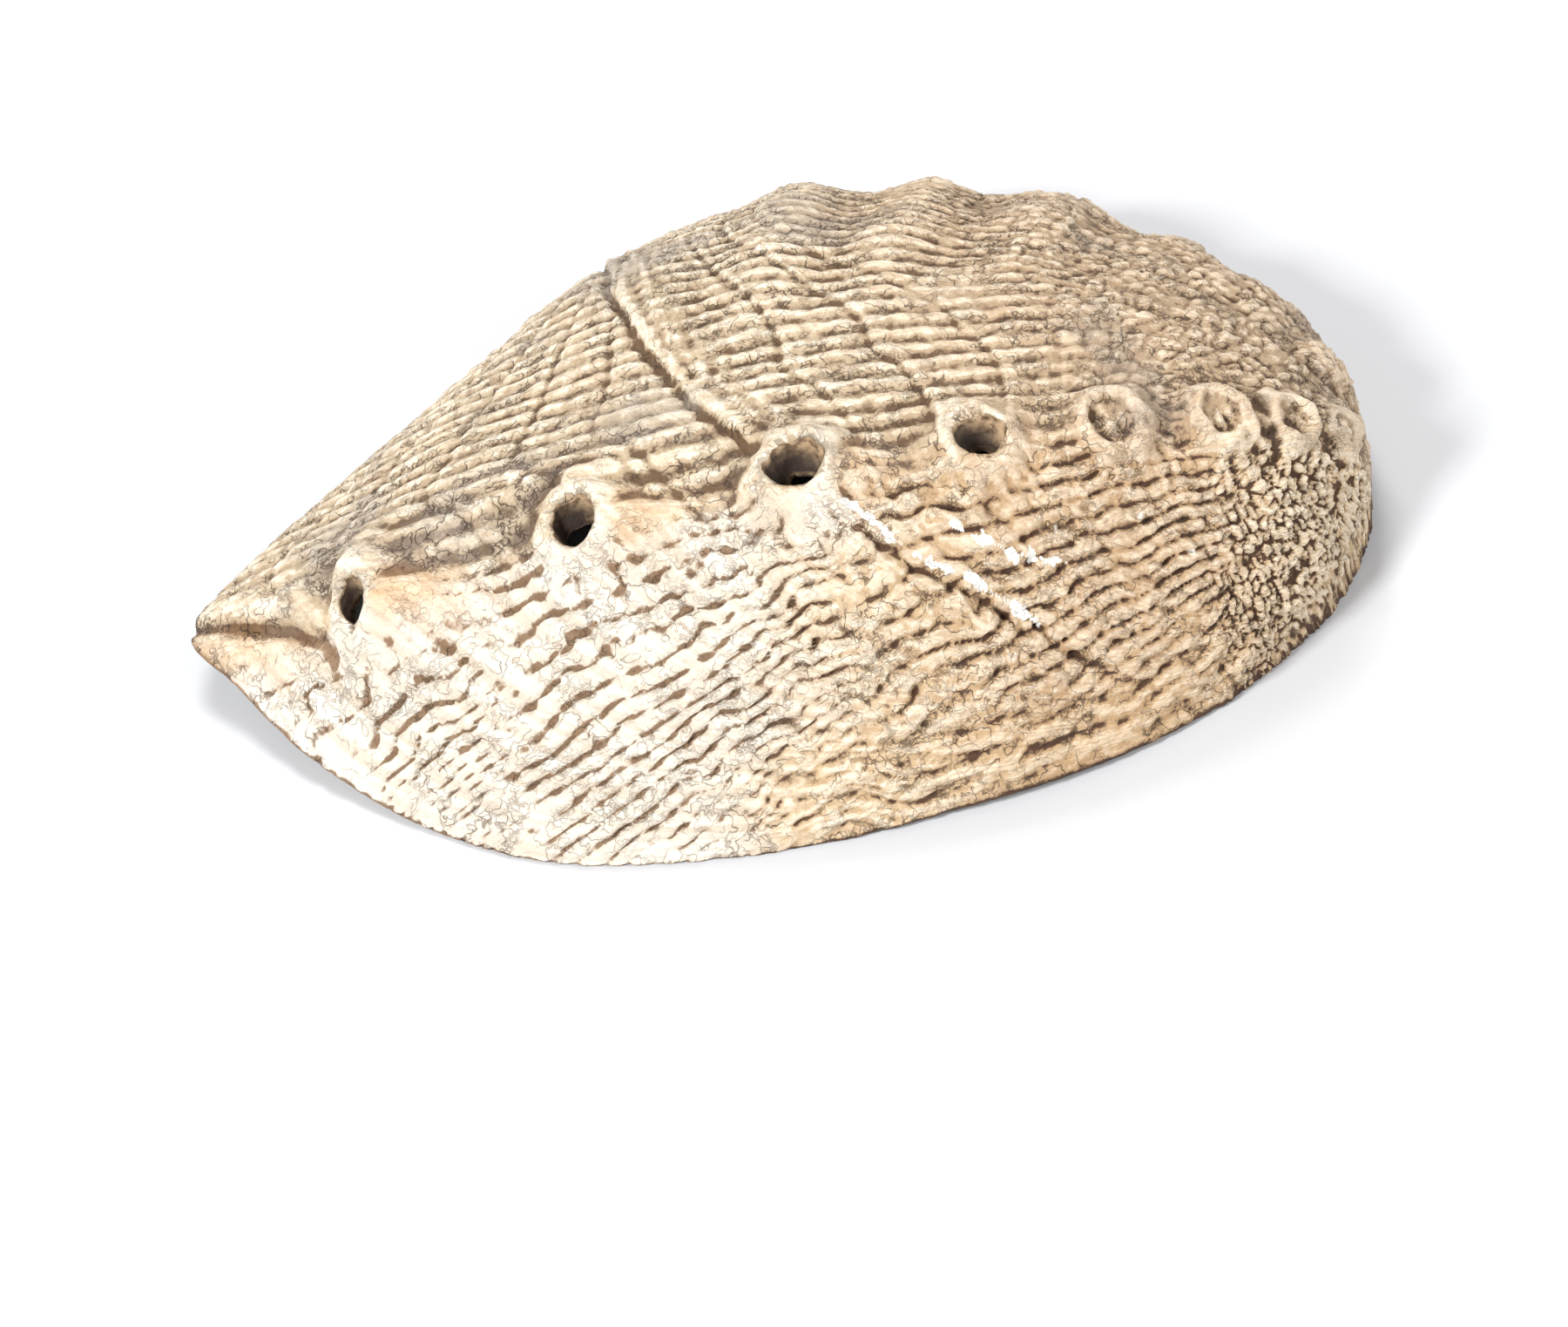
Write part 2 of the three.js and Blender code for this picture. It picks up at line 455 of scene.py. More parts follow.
@dataclass
class Relief:
    """The marks of growth on the outside, in millimetres."""

    cord_pitch: float = 2.55
    cord_height: float = 0.4
    line_pitch: float = 1.5
    line_height: float = 0.1
    pebble_size: float = 1.3
    pebble_height: float = 0.62
    nodule_size: float = 3.4
    nodule_height: float = 0.6
    fold_pitch: float = 15.8
    fold_height: float = 0.78
    rest_groove: float = 0.75
    rest_rise: float = 0.42
    minor_lines: tuple[float, ...] = (8.0, 15.0, 24.0, 33.0, 41.0, 60.0, 69.0, 78.0)

    def bumps(self, growth: GrowthMap, x: Array, y: Array, reach: Array) -> dict[str, Array]:
        """All the relief but the tubes.

        Args:
            growth: where the cords and growth lines run.
            x: places in plan.
            y: places in plan.
            reach: 0 at the crown to 1 at the edge.

        Returns:
            The relief as height, and the masks that the finish uses.
        """
        hills, waves, stones, knots = (Lattice(seed) for seed in (11, 23, 37, 53))
        across, back = growth.sample("across", x, y), growth.sample("back", x, y)
        arc, along = growth.sample("arc", x, y), growth.sample("along", x, y)
        spread, rate = growth.sample("spread", x, y), growth.sample("rate", x, y)
        near = smooth(1.5, -4.0, arc)
        pebbled = smooth(26.0, 40.0, x + 5.0 * hills.rough(x / 9, y / 9, 2)) * smooth(1.0, -3.0, arc)
        older, _ = REST_LINE.measure(x, y)

        wander = 0.5 * waves.hills(along / 11, arc / 8) + 0.22 * waves.rough(along / 2.6, arc / 2.6, 2)
        wander = wander + near * 0.85 * waves.rough(along / 6, arc / 6, 3)
        wander = wander * (1.0 - 0.6 * near * smooth(-8.0, -36.0, x))
        phase = (across + wander) / self.cord_pitch
        ragged = x + 6.0 * hills.hills(x / 12, y / 12)
        halved = near * (smooth(4.0, -14.0, ragged) + 0.6 * smooth(-24.0, -42.0, ragged))
        cords = self._blended(phase, spread, near, halved)
        pulse = 0.8 + (0.4 + 0.2 * near) * waves.rough(along / 3.6, 1.7 * np.round(phase) + 40.0, 2)
        cords = cords * np.clip(pulse, 0.1, 1.4) * (1.0 - 0.1 * near * smooth(-18.0, -44.0, x))

        gap, level = knots.cells(along / (1.5 * self.nodule_size) + 0.5 * waves.rough(along / 5, arc / 5, 2),
                                 (arc + wander) / self.nodule_size + 0.3 * waves.hills(along / 3, arc / 3))
        knotted = smooth(0.0, 0.5, gap) * smooth(0.25, 1.0, level)
        gap, level = stones.cells(along / self.pebble_size + 0.25 * waves.hills(along / 2, arc / 2),
                                  arc / self.pebble_size)
        stony = smooth(0.0, 0.34, gap) * (0.35 + 0.8 * level)
        gap, level = stones.cells(along / 2.3 + 90.0, (arc + wander) / 1.3)
        scaly = smooth(0.0, 0.4, gap) * (0.2 + 0.9 * level)
        weathered = waves.rough(along / 1.9 + 7.0, arc / 1.3, 3)
        crust = 1.0 - 2.2 * np.abs(knots.rough(along / 2.4, arc / 2.0 + 31.0, 3))

        lines = self._lines(hills, back, rate, along)
        slant = x - 0.55 * (y - 20.0) + 2.0 * hills.hills(x / 20, y / 20)
        fold = np.cos(TAU * (slant - 4.7) / self.fold_pitch)
        folded = smooth(0.0, 20.0, y) * smooth(-6.0, 3.0, slant) * smooth(56.0, 44.0, slant)
        lumps = hills.rough(x / 17 + 5.0, y / 13, 2)
        lumps = lumps + 1.3 * smooth(36.0, 50.0, x) * waves.rough(x / 5.5, y / 6.5 + 3.0, 2)

        rim_band = smooth(0.8, 0.9, reach) * near * smooth(-28.0, -8.0, x) * smooth(52.0, 36.0, x)
        layered = waves.rough(x / 11.0 + 0.3 * arc, (1.0 - reach) * 40.0 + 1.2 * hills.hills(x / 7, y / 7), 3)
        far_scaly = (1.0 - near) * smooth(14.0, 36.0, x)
        mid_knots = near * (1.0 - pebbled) * smooth(-38.0, -8.0, x)
        rested = smooth(-1.2, 0.4, older) * smooth(6.5, 4.0, older) * smooth(-24.0, -14.0, y)
        crusted = near * (1.0 - pebbled) * (1.0 - rim_band)
        cord_share = ((1.0 - 0.9 * pebbled) * (0.64 + 0.36 * near) * (1.0 - 0.6 * far_scaly)
                      * (1.0 - 0.3 * mid_knots) * (1.0 - 0.55 * rested) * (1.0 - 0.75 * rim_band))
        fine = (self.cord_height * cords * cord_share * (1.0 + 0.35 * near)
                + self.nodule_height * knotted * mid_knots * (1.0 - rim_band)
                + self.pebble_height * stony * pebbled
                + 0.42 * scaly * far_scaly
                + 0.5 * layered * rim_band
                + 0.11 * weathered * (1.0 + 0.6 * near)
                + 0.15 * crust * crusted
                + self.line_height * lines * (1.0 - 0.5 * near)
                + self._rested(older, along, waves) * (1.0 - 0.75 * rim_band))
        coarse = (0.45 * lumps + self.fold_height * fold * folded + self._steps(back, rate)
                  + self.rest_rise * smooth(-0.3, 0.3, older) * np.exp(-np.maximum(older, 0.0) / 9.0))
        return {"fine": fine, "coarse": coarse, "across": phase * self.cord_pitch, "back": back,
                "pebbled": pebbled, "near": near, "rim_band": rim_band}

    def _blended(self, phase: Array, spread: Array, near: Array, halved: Array) -> Array:
        """Cords that merge in pairs where they crowd together.

        Args:
            phase: the cords' count across the shell.
            spread: how much of their full spacing they have.
            near: 1 on the steep side, where the cords are plump.
            halved: 1 where a finer cord has grown in between each pair.

        Returns:
            Rounded ridges, -1 to 1.
        """
        level = np.clip(-np.log2(np.clip(spread, 0.05, 1.0)), 0.0, 4.0) * (1.0 - 0.5 * near) - halved
        step = np.floor(level)
        mix = smooth(0.3, 0.7, level - step)
        ridge = []
        for shift in (0, 1):
            crest = 0.5 + 0.5 * np.cos(TAU * phase / 2.0 ** (step + shift))
            plump = 1.0 - (1.0 - crest) ** 3.6
            ridge.append(2.0 * crest ** 1.1 * (1.0 - near) + 2.0 * plump * near - 1.0)
        return ridge[0] * (1.0 - mix) + ridge[1] * mix

    def _lines(self, hills: Lattice, back: Array, rate: Array, along: Array) -> Array:
        """Growth lines of uneven strength, thinned out where they crowd."""
        level = np.clip(np.log2(np.clip(rate, 1.0, 40.0)), 0.0, 5.0)
        step = np.floor(level)
        mix = smooth(0.3, 0.7, level - step)
        bands = []
        for shift in (0, 1):
            pitch = self.line_pitch * 2.0 ** (step + shift)
            finer = hills.hills(2.3 * back / pitch, along / 25.0)
            bands.append(hills.hills(back / pitch, along / 30.0) + 0.6 * finer)
        return bands[0] * (1.0 - mix) + bands[1] * mix

    def _rested(self, older: Array, along: Array, waves: Lattice) -> Array:
        """The deep rest line and the roped ridges behind it."""
        ragged = (older + 0.45 * waves.rough(along / 1.8, older / 3.0, 3)
                  + 0.5 * waves.hills(along / 6.0, older / 9.0))
        groove = -self.rest_groove * bell(ragged + 0.1, 0.42)
        ropes = 0.22 * np.cos(TAU * (ragged - 1.1) / 2.1) * smooth(-0.4, 0.6, older) * smooth(6.0, 1.5, older)
        ropes = ropes * np.clip(0.75 + 0.8 * waves.rough(along / 3.5, older / 2.5 + 9.0, 2), 0.1, 1.4)
        return groove + ropes

    def _steps(self, back: Array, rate: Array) -> Array:
        """Lesser rest lines: an older lip standing over a groove."""
        total = np.zeros_like(back)
        for line in self.minor_lines:
            away = (back - line) / rate
            lip = np.where(away > 0, np.exp(-away / 2.0), 0.0) * smooth(0.0, 0.5, away)
            total += 0.26 * (0.6 * lip - bell(away + 0.15, 0.4)) * smooth(5.0, 2.0, rate)
        return total


class Region(Enum):
    """The places in the shell's texture map, as low and high corners."""

    OUTSIDE = ((0.01, 0.01), (0.69, 0.99))
    INSIDE = ((0.71, 0.01), (0.99, 0.5))
    LIP = ((0.71, 0.52), (0.99, 0.56))
    BORES = ((0.71, 0.6), (0.99, 0.99))

    def spot(self, u: Array, v: Array) -> Array:
        """Places shares of 0 to 1 inside the region."""
        (u0, v0), (u1, v1) = self.value
        return np.stack([u0 + u * (u1 - u0), v0 + v * (v1 - v0)], axis=-1)


class Finish(Enum):
    """The material slots of the shell."""

    OUTSIDE = 0
    INSIDE = 1
    BORES = 2


class MeshStock:
    """Vertices, faces and texture places that are gathered into one mesh."""

    def __init__(self) -> None:
        """Starts empty."""
        self.points: list[Array] = []
        self.corners: list[Array] = []
        self.sides: list[Array] = []
        self.spots: list[Array] = []
        self.slots: list[Array] = []
        self.marks: dict[str, list[Array]] = {}
        self.count = 0

    def add_points(self, points: Array, marks: dict[str, Array] | None = None) -> int:
        """Adds vertices.

        Args:
            points: an array of x, y and z.
            marks: named values at each vertex.

        Returns:
            The number of the first new vertex.
        """
        start = self.count
        flat = points.reshape(-1, 3)
        self.points.append(flat)
        marks = marks or {}
        for name in list(self.marks) + [name for name in marks if name not in self.marks]:
            held = self.marks.setdefault(name, [np.zeros(start)] if start else [])
            value = marks.get(name)
            held.append(np.zeros(len(flat)) if value is None else np.asarray(value, float).ravel())
        self.count += len(flat)
        return start

    def add_faces(self, corners: Array, spots: Array, slot: int) -> None:
        """Adds faces that all have the same number of sides.

        Args:
            corners: vertex numbers, with a face's corners along the last axis.
            spots: a texture place for each corner.
            slot: the material's place on the object.
        """
        sides = corners.shape[-1]
        self.corners.append(corners.ravel())
        self.sides.append(np.full(corners.size // sides, sides))
        self.spots.append(spots.reshape(-1, 2))
        self.slots.append(np.full(corners.size // sides, slot))

    def mesh(self, name: str) -> bpy.types.Mesh:
        """Makes the Blender mesh, with its corners in metres.

        Args:
            name: the mesh's name.

        Returns:
            The mesh.
        """
        points = np.concatenate(self.points) * MM
        corners = np.concatenate(self.corners).astype(np.int32)
        sides = np.concatenate(self.sides)
        starts = (np.cumsum(sides) - sides).astype(np.int32)
        mesh = bpy.data.meshes.new(name)
        for _ in Finish:
            mesh.materials.append(None)
        mesh.vertices.add(len(points))
        mesh.vertices.foreach_set("co", points.astype(np.float32).ravel())
        mesh.loops.add(len(corners))
        mesh.loops.foreach_set("vertex_index", corners)
        mesh.polygons.add(len(sides))
        mesh.polygons.foreach_set("loop_start", starts)
        mesh.polygons.foreach_set("material_index", np.concatenate(self.slots).astype(np.int32))
        mesh.update(calc_edges=True)
        layer = mesh.uv_layers.new(name="OFBake")
        layer.data.foreach_set("uv", np.concatenate(self.spots).astype(np.float32).ravel())
        for mark, values in self.marks.items():
            attribute = mesh.attributes.new(mark, "FLOAT", "POINT")
            attribute.data.foreach_set("value", np.concatenate(values).astype(np.float32))
        mesh.polygons.foreach_set("use_smooth", np.ones(len(sides), dtype=bool))
        return mesh


def blur(field_: Array, passes: int) -> Array:
    """Spreads a grid's values into their neighbours.

    Args:
        field_: a grid of values.
        passes: how often; each widens the blur.

    Returns:
        The softened grid.
    """
    out = field_.astype(float)
    for _ in range(passes):
        padded = np.pad(out, 1, mode="edge")
        out = (padded[1:-1, 1:-1] * 2 + padded[:-2, 1:-1] + padded[2:, 1:-1]
               + padded[1:-1, :-2] + padded[1:-1, 2:]) / 6.0
    return out


class NodeKit:
    """Short hands for building one node tree."""

    def __init__(self, tree: bpy.types.NodeTree) -> None:
        """Takes the tree to build in."""
        self.tree = tree

    def node(self, kind: str, **settings: object) -> bpy.types.Node:
        """Adds a node.

        Args:
            kind: the node's type name.
            **settings: properties, or input values whose name starts with in_ and a socket number.

        Returns:
            The node.
        """
        made = self.tree.nodes.new(kind)
        for name, value in settings.items():
            if name.startswith("in_"):
                made.inputs[int(name[3:])].default_value = value
            else:
                setattr(made, name, value)
        return made

    def link(self, source: bpy.types.NodeSocket, target: bpy.types.NodeSocket) -> None:
        """Joins two sockets."""
        self.tree.links.new(source, target)

    def math(self, operation: str, first: object, second: object = 0.0) -> object:
        """A sum on two sockets or numbers.

        Args:
            operation: the sum's name.
            first: a socket or a number.
            second: a socket or a number.

        Returns:
            The result's socket.
        """
        made = self.node("ShaderNodeMath", operation=operation)
        for place, value in enumerate((first, second)):
            if isinstance(value, (int, float)):
                made.inputs[place].default_value = value
            else:
                self.link(value, made.inputs[place])
        return made.outputs[0]

    def ramp(self, value: object, low: float, high: float) -> object:
        """Eases a socket from 0 at low to 1 at high.

        Args:
            value: the socket to ease.
            low: where the ease starts.
            high: where it ends.

        Returns:
            The eased socket.
        """
        made = self.node("ShaderNodeMapRange", interpolation_type="SMOOTHSTEP", in_1=low, in_2=high)
        self.link(value, made.inputs[0])
        return made.outputs[0]

    def mix(self, share: object, first: object, second: object, blend: str = "MIX") -> object:
        """Mixes two colours.

        Args:
            share: how much of the second, a socket or a number.
            first: a colour or a socket.
            second: a colour or a socket.
            blend: how they mix.

        Returns:
            The mixed colour's socket.
        """
        made = self.node("ShaderNodeMix", data_type="RGBA", blend_type=blend)
        for place, value in ((0, share), (6, first), (7, second)):
            if isinstance(value, bpy.types.NodeSocket):
                self.link(value, made.inputs[place])
            else:
                made.inputs[place].default_value = value
        return made.outputs[2]

    def attribute(self, name: str) -> object:
        """Reads a named value from the mesh."""
        return self.node("ShaderNodeAttribute", attribute_name=name).outputs["Fac"]

    def noise(self, vector: object, scale: float, detail: float = 3.0, rough: float = 0.55) -> object:
        """Cloudy noise.

        Args:
            vector: where it is read.
            scale: clouds to a unit.
            detail: how many smaller sizes.
            rough: how strong the smaller sizes are.

        Returns:
            The noise's value socket.
        """
        made = self.node("ShaderNodeTexNoise")
        made.inputs["Scale"].default_value = scale
        made.inputs["Detail"].default_value = detail
        made.inputs["Roughness"].default_value = rough
        self.link(vector, made.inputs["Vector"])
        return made.outputs[0]

    def bump(self, height: object, distance: float, strength: float, shader: bpy.types.Node) -> None:
        """Roughens a shader's surface.

        Args:
            height: the socket that says how high.
            distance: how high it is at most, in metres.
            strength: how much of it shows.
            shader: the shader that it goes to.
        """
        made = self.node("ShaderNodeBump")
        made.inputs["Strength"].default_value = strength
        made.inputs["Distance"].default_value = distance
        self.link(height, made.inputs["Height"])
        self.link(made.outputs[0], shader.inputs["Normal"])


def new_group(name: str, takes: dict[str, tuple[str, object]], gives: dict[str, str]) -> tuple:
    """Starts a shader node group with named sockets.

    Args:
        name: the group's name.
        takes: each input's name, with its socket type and standard value.
        gives: each output's name, with its socket type.

    Returns:
        The group, its kit, its inputs' node and its outputs' node.
    """
    group = bpy.data.node_groups.new(name, "ShaderNodeTree")
    for socket, (kind, value) in takes.items():
        made = group.interface.new_socket(socket, in_out="INPUT", socket_type=kind)
        if value is not None:
            made.default_value = value
    for socket, kind in gives.items():
        group.interface.new_socket(socket, in_out="OUTPUT", socket_type=kind)
    kit = NodeKit(group)
    return group, kit, kit.node("NodeGroupInput"), kit.node("NodeGroupOutput")


FLOAT = "NodeSocketFloat"
COLOR = "NodeSocketColor"
VECTOR = "NodeSocketVector"


def relief_tone_and_shade_group() -> bpy.types.NodeTree:
    """Builds the group that paints crests, flanks and grooves by the relief mask: partly their own tone,
    partly painted shade in the hollows and painted highlight on the crests.

    Returns:
        The group.
    """
    group, kit, takes, gives = new_group(
        "Relief Tone And Painted Shade",
        {"Relief": (FLOAT, 0.0), "Blotch": (FLOAT, 0.5), "Spread": (FLOAT, 0.2), "Crest": (COLOR, None),
         "Flank": (COLOR, None), "Groove": (COLOR, None)},
        {"Color": COLOR, "Height": FLOAT},
    )
    pull = kit.math("SUBTRACT", takes.outputs["Blotch"], 0.5)
    pushed = kit.math("ADD", takes.outputs["Relief"], kit.math("MULTIPLY", pull, takes.outputs["Spread"]))
    # Painted shade: the deepest hollows take the groove colour, which is partly the grooves' own brown.
    deep = kit.ramp(pushed, -0.1, -0.46)
    high = kit.ramp(pushed, -0.02, 0.3)
    flank = kit.mix(deep, takes.outputs["Flank"], takes.outputs["Groove"])
    kit.link(kit.mix(high, flank, takes.outputs["Crest"]), gives.inputs["Color"])
    kit.link(high, gives.inputs["Height"])
    return group


def growth_bands_group() -> bpy.types.NodeTree:
    """Builds the group of fine streaks along the growth lines and the cords.

    Returns:
        The group.
    """
    group, kit, takes, gives = new_group(
        "Growth Bands",
        {"Back": (FLOAT, 0.0), "Across": (FLOAT, 0.0), "Bands": (FLOAT, 0.8), "Streaks": (FLOAT, 1.5)},
        {"Band": FLOAT, "Streak": FLOAT, "Grain": FLOAT},
    )
    place = kit.node("ShaderNodeCombineXYZ")
    kit.link(kit.math("MULTIPLY", takes.outputs["Back"], takes.outputs["Bands"]), place.inputs[0])
    kit.link(kit.math("MULTIPLY", takes.outputs["Across"], 0.12), place.inputs[1])
    kit.link(kit.noise(place.outputs[0], 1.0, 4.0, 0.6), gives.inputs["Band"])
    place = kit.node("ShaderNodeCombineXYZ")
    kit.link(kit.math("MULTIPLY", takes.outputs["Back"], 0.25), place.inputs[0])
    kit.link(kit.math("MULTIPLY", takes.outputs["Across"], takes.outputs["Streaks"]), place.inputs[1])
    kit.link(kit.noise(place.outputs[0], 1.0, 4.0, 0.6), gives.inputs["Streak"])
    place = kit.node("ShaderNodeTexCoord")
    kit.link(kit.noise(place.outputs["Object"], 2200.0, 5.0, 0.7), gives.inputs["Grain"])
    return group


def crack_group() -> bpy.types.NodeTree:
    """Builds the group of fine, ragged cracks round chips and grains.

    Returns:
        The group.
    """
    group, kit, _, gives = new_group("Fine Cracks", {}, {"Line": FLOAT})
    place = kit.node("ShaderNodeTexCoord").outputs["Object"]
    warp = kit.node("ShaderNodeTexNoise")
    warp.inputs["Scale"].default_value = 650.0
    warp.inputs["Detail"].default_value = 4.0
    kit.link(place, warp.inputs["Vector"])
    push = kit.node("ShaderNodeVectorMath", operation="SCALE")
    kit.link(warp.outputs["Color"], push.inputs[0])
    push.inputs["Scale"].default_value = 0.0045
    moved = kit.node("ShaderNodeVectorMath", operation="ADD")
    kit.link(place, moved.inputs[0])
    kit.link(push.outputs[0], moved.inputs[1])
    cells = kit.node("ShaderNodeTexVoronoi", feature="DISTANCE_TO_EDGE")
    cells.inputs["Scale"].default_value = 620.0
    kit.link(moved.outputs[0], cells.inputs["Vector"])
    thin = kit.ramp(cells.outputs["Distance"], 0.075, 0.01)
    shown = kit.ramp(kit.noise(place, 240.0, 3.0, 0.6), 0.45, 0.62)
    chips = kit.math("ABSOLUTE", kit.math("SUBTRACT", kit.noise(place, 520.0, 2.0, 0.5), 0.5))
    sparse = kit.ramp(kit.noise(place, 190.0, 2.0, 0.5), 0.4, 0.56)
    chips = kit.math("MULTIPLY", kit.ramp(chips, 0.022, 0.004), sparse)
    kit.link(kit.math("MAXIMUM", kit.math("MULTIPLY", thin, shown), chips), gives.inputs["Line"])
    return group


@dataclass(frozen=True)
class OuterFinish:
    """Weathered lime shell, pale on the crests and brown in the grooves, with painted shade deepening the
    grooves and painted highlight on the crests.
    """

    # Crest and groove colours, mixed by the relief mask: partly the shell's own tone, partly painted
    # highlight on crests and painted shade in grooves.
    crest: str = "fdeed6"
    flank: str = "d8bc96"
    groove: str = "5a3c24"
    grey_crest: str = "fff3de"
    grey_flank: str = "c9b496"
    grey_groove: str = "6f553a"
    # Paler colours for the near-left side: partly the shell's paler weathered skin, partly painted light
    # where that side faces the key light.
    bleached_and_lit_flank: str = "f5ebdc"
    bleached_and_lit_groove: str = "9a7f64"
    lichen: str = "b3aa9f"
    white: str = "fffdf6"
    worn: str = "d2b48c"
    peach: str = "e8b888"
    ochre: str = "d0a95f"
    # Painted shade for the spire end, away from the key light.
    painted_side_shade: str = "c09b72"
    crack: str = "4a3524"
    roughness: float = 0.6

    def material(self, relief: bpy.types.NodeTree, bands: bpy.types.NodeTree,
                 cracks: bpy.types.NodeTree) -> bpy.types.Material:
        """Makes the material.

        Args:
            relief: the group that paints by relief, with painted shade in the hollows and painted highlight
                on the crests.
            bands: the group of streaks.
            cracks: the group of fine cracks.

        Returns:
            The material.
        """
        made, kit, shader = new_material("weathered_shell")
        streak = kit.node("ShaderNodeGroup", node_tree=bands)
        kit.link(kit.attribute("back"), streak.inputs["Back"])
        kit.link(kit.attribute("across"), streak.inputs["Across"])
        crack = kit.node("ShaderNodeGroup", node_tree=cracks)
        place = kit.node("ShaderNodeTexCoord").outputs["Object"]
        blotch = kit.noise(place, 800.0, 6.0, 0.7)
        patches = kit.noise(place, 60.0, 4.0, 0.6)
        layers = []
        for crest, flank, groove in ((self.crest, self.flank, self.groove),
                                     (self.grey_crest, self.grey_flank, self.grey_groove),
                                     (self.bleached_and_lit_flank, self.bleached_and_lit_flank, self.bleached_and_lit_groove)):
            layer = kit.node("ShaderNodeGroup", node_tree=relief)
            # The relief mask paints hollows darker and crests paler: painted shade and highlight over the
            # shell's own tone.
            kit.link(kit.attribute("relief"), layer.inputs["Relief"])
            kit.link(blotch, layer.inputs["Blotch"])
            layer.inputs["Spread"].default_value = 1.3
            layer.inputs["Crest"].default_value = paint(crest)
            layer.inputs["Flank"].default_value = paint(flank)
            layer.inputs["Groove"].default_value = paint(groove)
            layers.append(layer)
        color = kit.mix(kit.attribute("grey"), layers[0].outputs["Color"], layers[1].outputs["Color"])
        thin = kit.ramp(streak.outputs["Streak"], 0.56, 0.4)
        uneven = kit.math("MULTIPLY", thin, layers[0].outputs["Height"])
        color = kit.mix(kit.math("MULTIPLY", uneven, 0.55), color, paint(self.worn))
        dust = kit.math("MULTIPLY", kit.attribute("grey"), kit.ramp(patches, 0.48, 0.66))
        color = kit.mix(kit.math("MULTIPLY", dust, 0.55), color, paint(self.lichen))
        ochre = kit.math("MULTIPLY", kit.attribute("ochre"), kit.ramp(patches, 0.35, 0.6))
        color = kit.mix(kit.math("MULTIPLY", ochre, 0.45), color,
                        kit.mix(0.6, color, paint(self.ochre), "MULTIPLY"))
        # Paler near-left side: partly its own paler skin, partly painted light on the side facing the key
        # light.
        pale = kit.math("ADD", kit.attribute("bleached_and_lit"), kit.math("SUBTRACT", patches, 0.5))
        color = kit.mix(kit.ramp(pale, 0.15, 0.85), color, layers[2].outputs["Color"])
        peach = kit.math("MULTIPLY", kit.attribute("peach"), kit.ramp(blotch, 0.1, 0.6))
        color = kit.mix(kit.math("MULTIPLY", peach, 0.6), color, paint(self.peach))
        # Painted shade: darkens the colour towards the spire end, away from the key light.
        color = kit.mix(kit.math("MULTIPLY", kit.attribute("painted_side_shade"), 0.3), color,
                        kit.mix(1.0, color, paint(self.painted_side_shade), "MULTIPLY"))
        tone = kit.mix(kit.ramp(streak.outputs["Band"], 0.35, 0.65), paint("c9b8a4"), paint("ffffff"))
        color = kit.mix(0.5, color, kit.mix(1.0, color, tone, "MULTIPLY"))
        line = kit.math("MULTIPLY", crack.outputs["Line"], kit.ramp(kit.attribute("relief"), 0.5, -0.1))
        kept = kit.math("MULTIPLY", kit.attribute("bleached_and_lit"), -0.45)
        line = kit.math("MULTIPLY", line, kit.math("ADD", kept, 0.85))
        color = kit.mix(line, color, paint(self.crack))
        broken = kit.math("MULTIPLY", kit.math("SUBTRACT", blotch, 0.5), 1.2)
        white = kit.math("ADD", kit.attribute("white"), broken)
        color = kit.mix(kit.ramp(white, 0.35, 0.6), color, paint(self.white))
        kit.link(color, shader.inputs["Base Color"])
        grain = streak.outputs["Grain"]
        rough = kit.math("ADD", kit.math("MULTIPLY", layers[0].outputs["Height"], -0.14), self.roughness)
        kit.link(kit.math("ADD", rough, kit.math("MULTIPLY", grain, 0.15)), shader.inputs["Roughness"])
        height = kit.math("ADD", kit.math("MULTIPLY", grain, 0.5), kit.math("MULTIPLY", blotch, 0.5))
        height = kit.math("ADD", height, kit.math("MULTIPLY", streak.outputs["Band"], 0.3))
        height = kit.math("SUBTRACT", height, kit.math("MULTIPLY", crack.outputs["Line"], 0.35))
        kit.bump(height, 0.0009, 1.0, shader)
        return made


@dataclass(frozen=True)
class NacreFinish:
    """Smooth pearl of the inside, in soft shifting bands."""

    pearl: str = "d8d1c4"
    green: str = "bccabd"
    rose: str = "d3bfbd"
    stain: str = "8d7458"
    roughness: float = 0.28

    def material(self) -> bpy.types.Material:
        """Makes the material."""
        made, kit, shader = new_material("nacre")
        place = kit.node("ShaderNodeTexCoord").outputs["Object"]
        swirl = kit.noise(place, 45.0, 3.0, 0.5)
        band = kit.math("SINE", kit.math("MULTIPLY", swirl, 18.0))
        color = kit.mix(kit.ramp(band, -0.9, 0.2), paint(self.green), paint(self.pearl))
        color = kit.mix(kit.ramp(band, 0.3, 1.0), color, paint(self.rose))
        color = kit.mix(kit.math("MULTIPLY", kit.ramp(kit.noise(place, 90.0, 5.0, 0.6), 0.5, 0.75), 0.5),
                        color, paint(self.stain))
        kit.link(color, shader.inputs["Base Color"])
        rough = kit.math("ADD", kit.math("MULTIPLY", swirl, 0.15), self.roughness)
        kit.link(rough, shader.inputs["Roughness"])
        shader.inputs["Coat Weight"].default_value = 0.35
        shader.inputs["Coat Roughness"].default_value = 0.15
        kit.bump(kit.noise(place, 120.0, 3.0, 0.5), 0.0006, 0.5, shader)
        return made


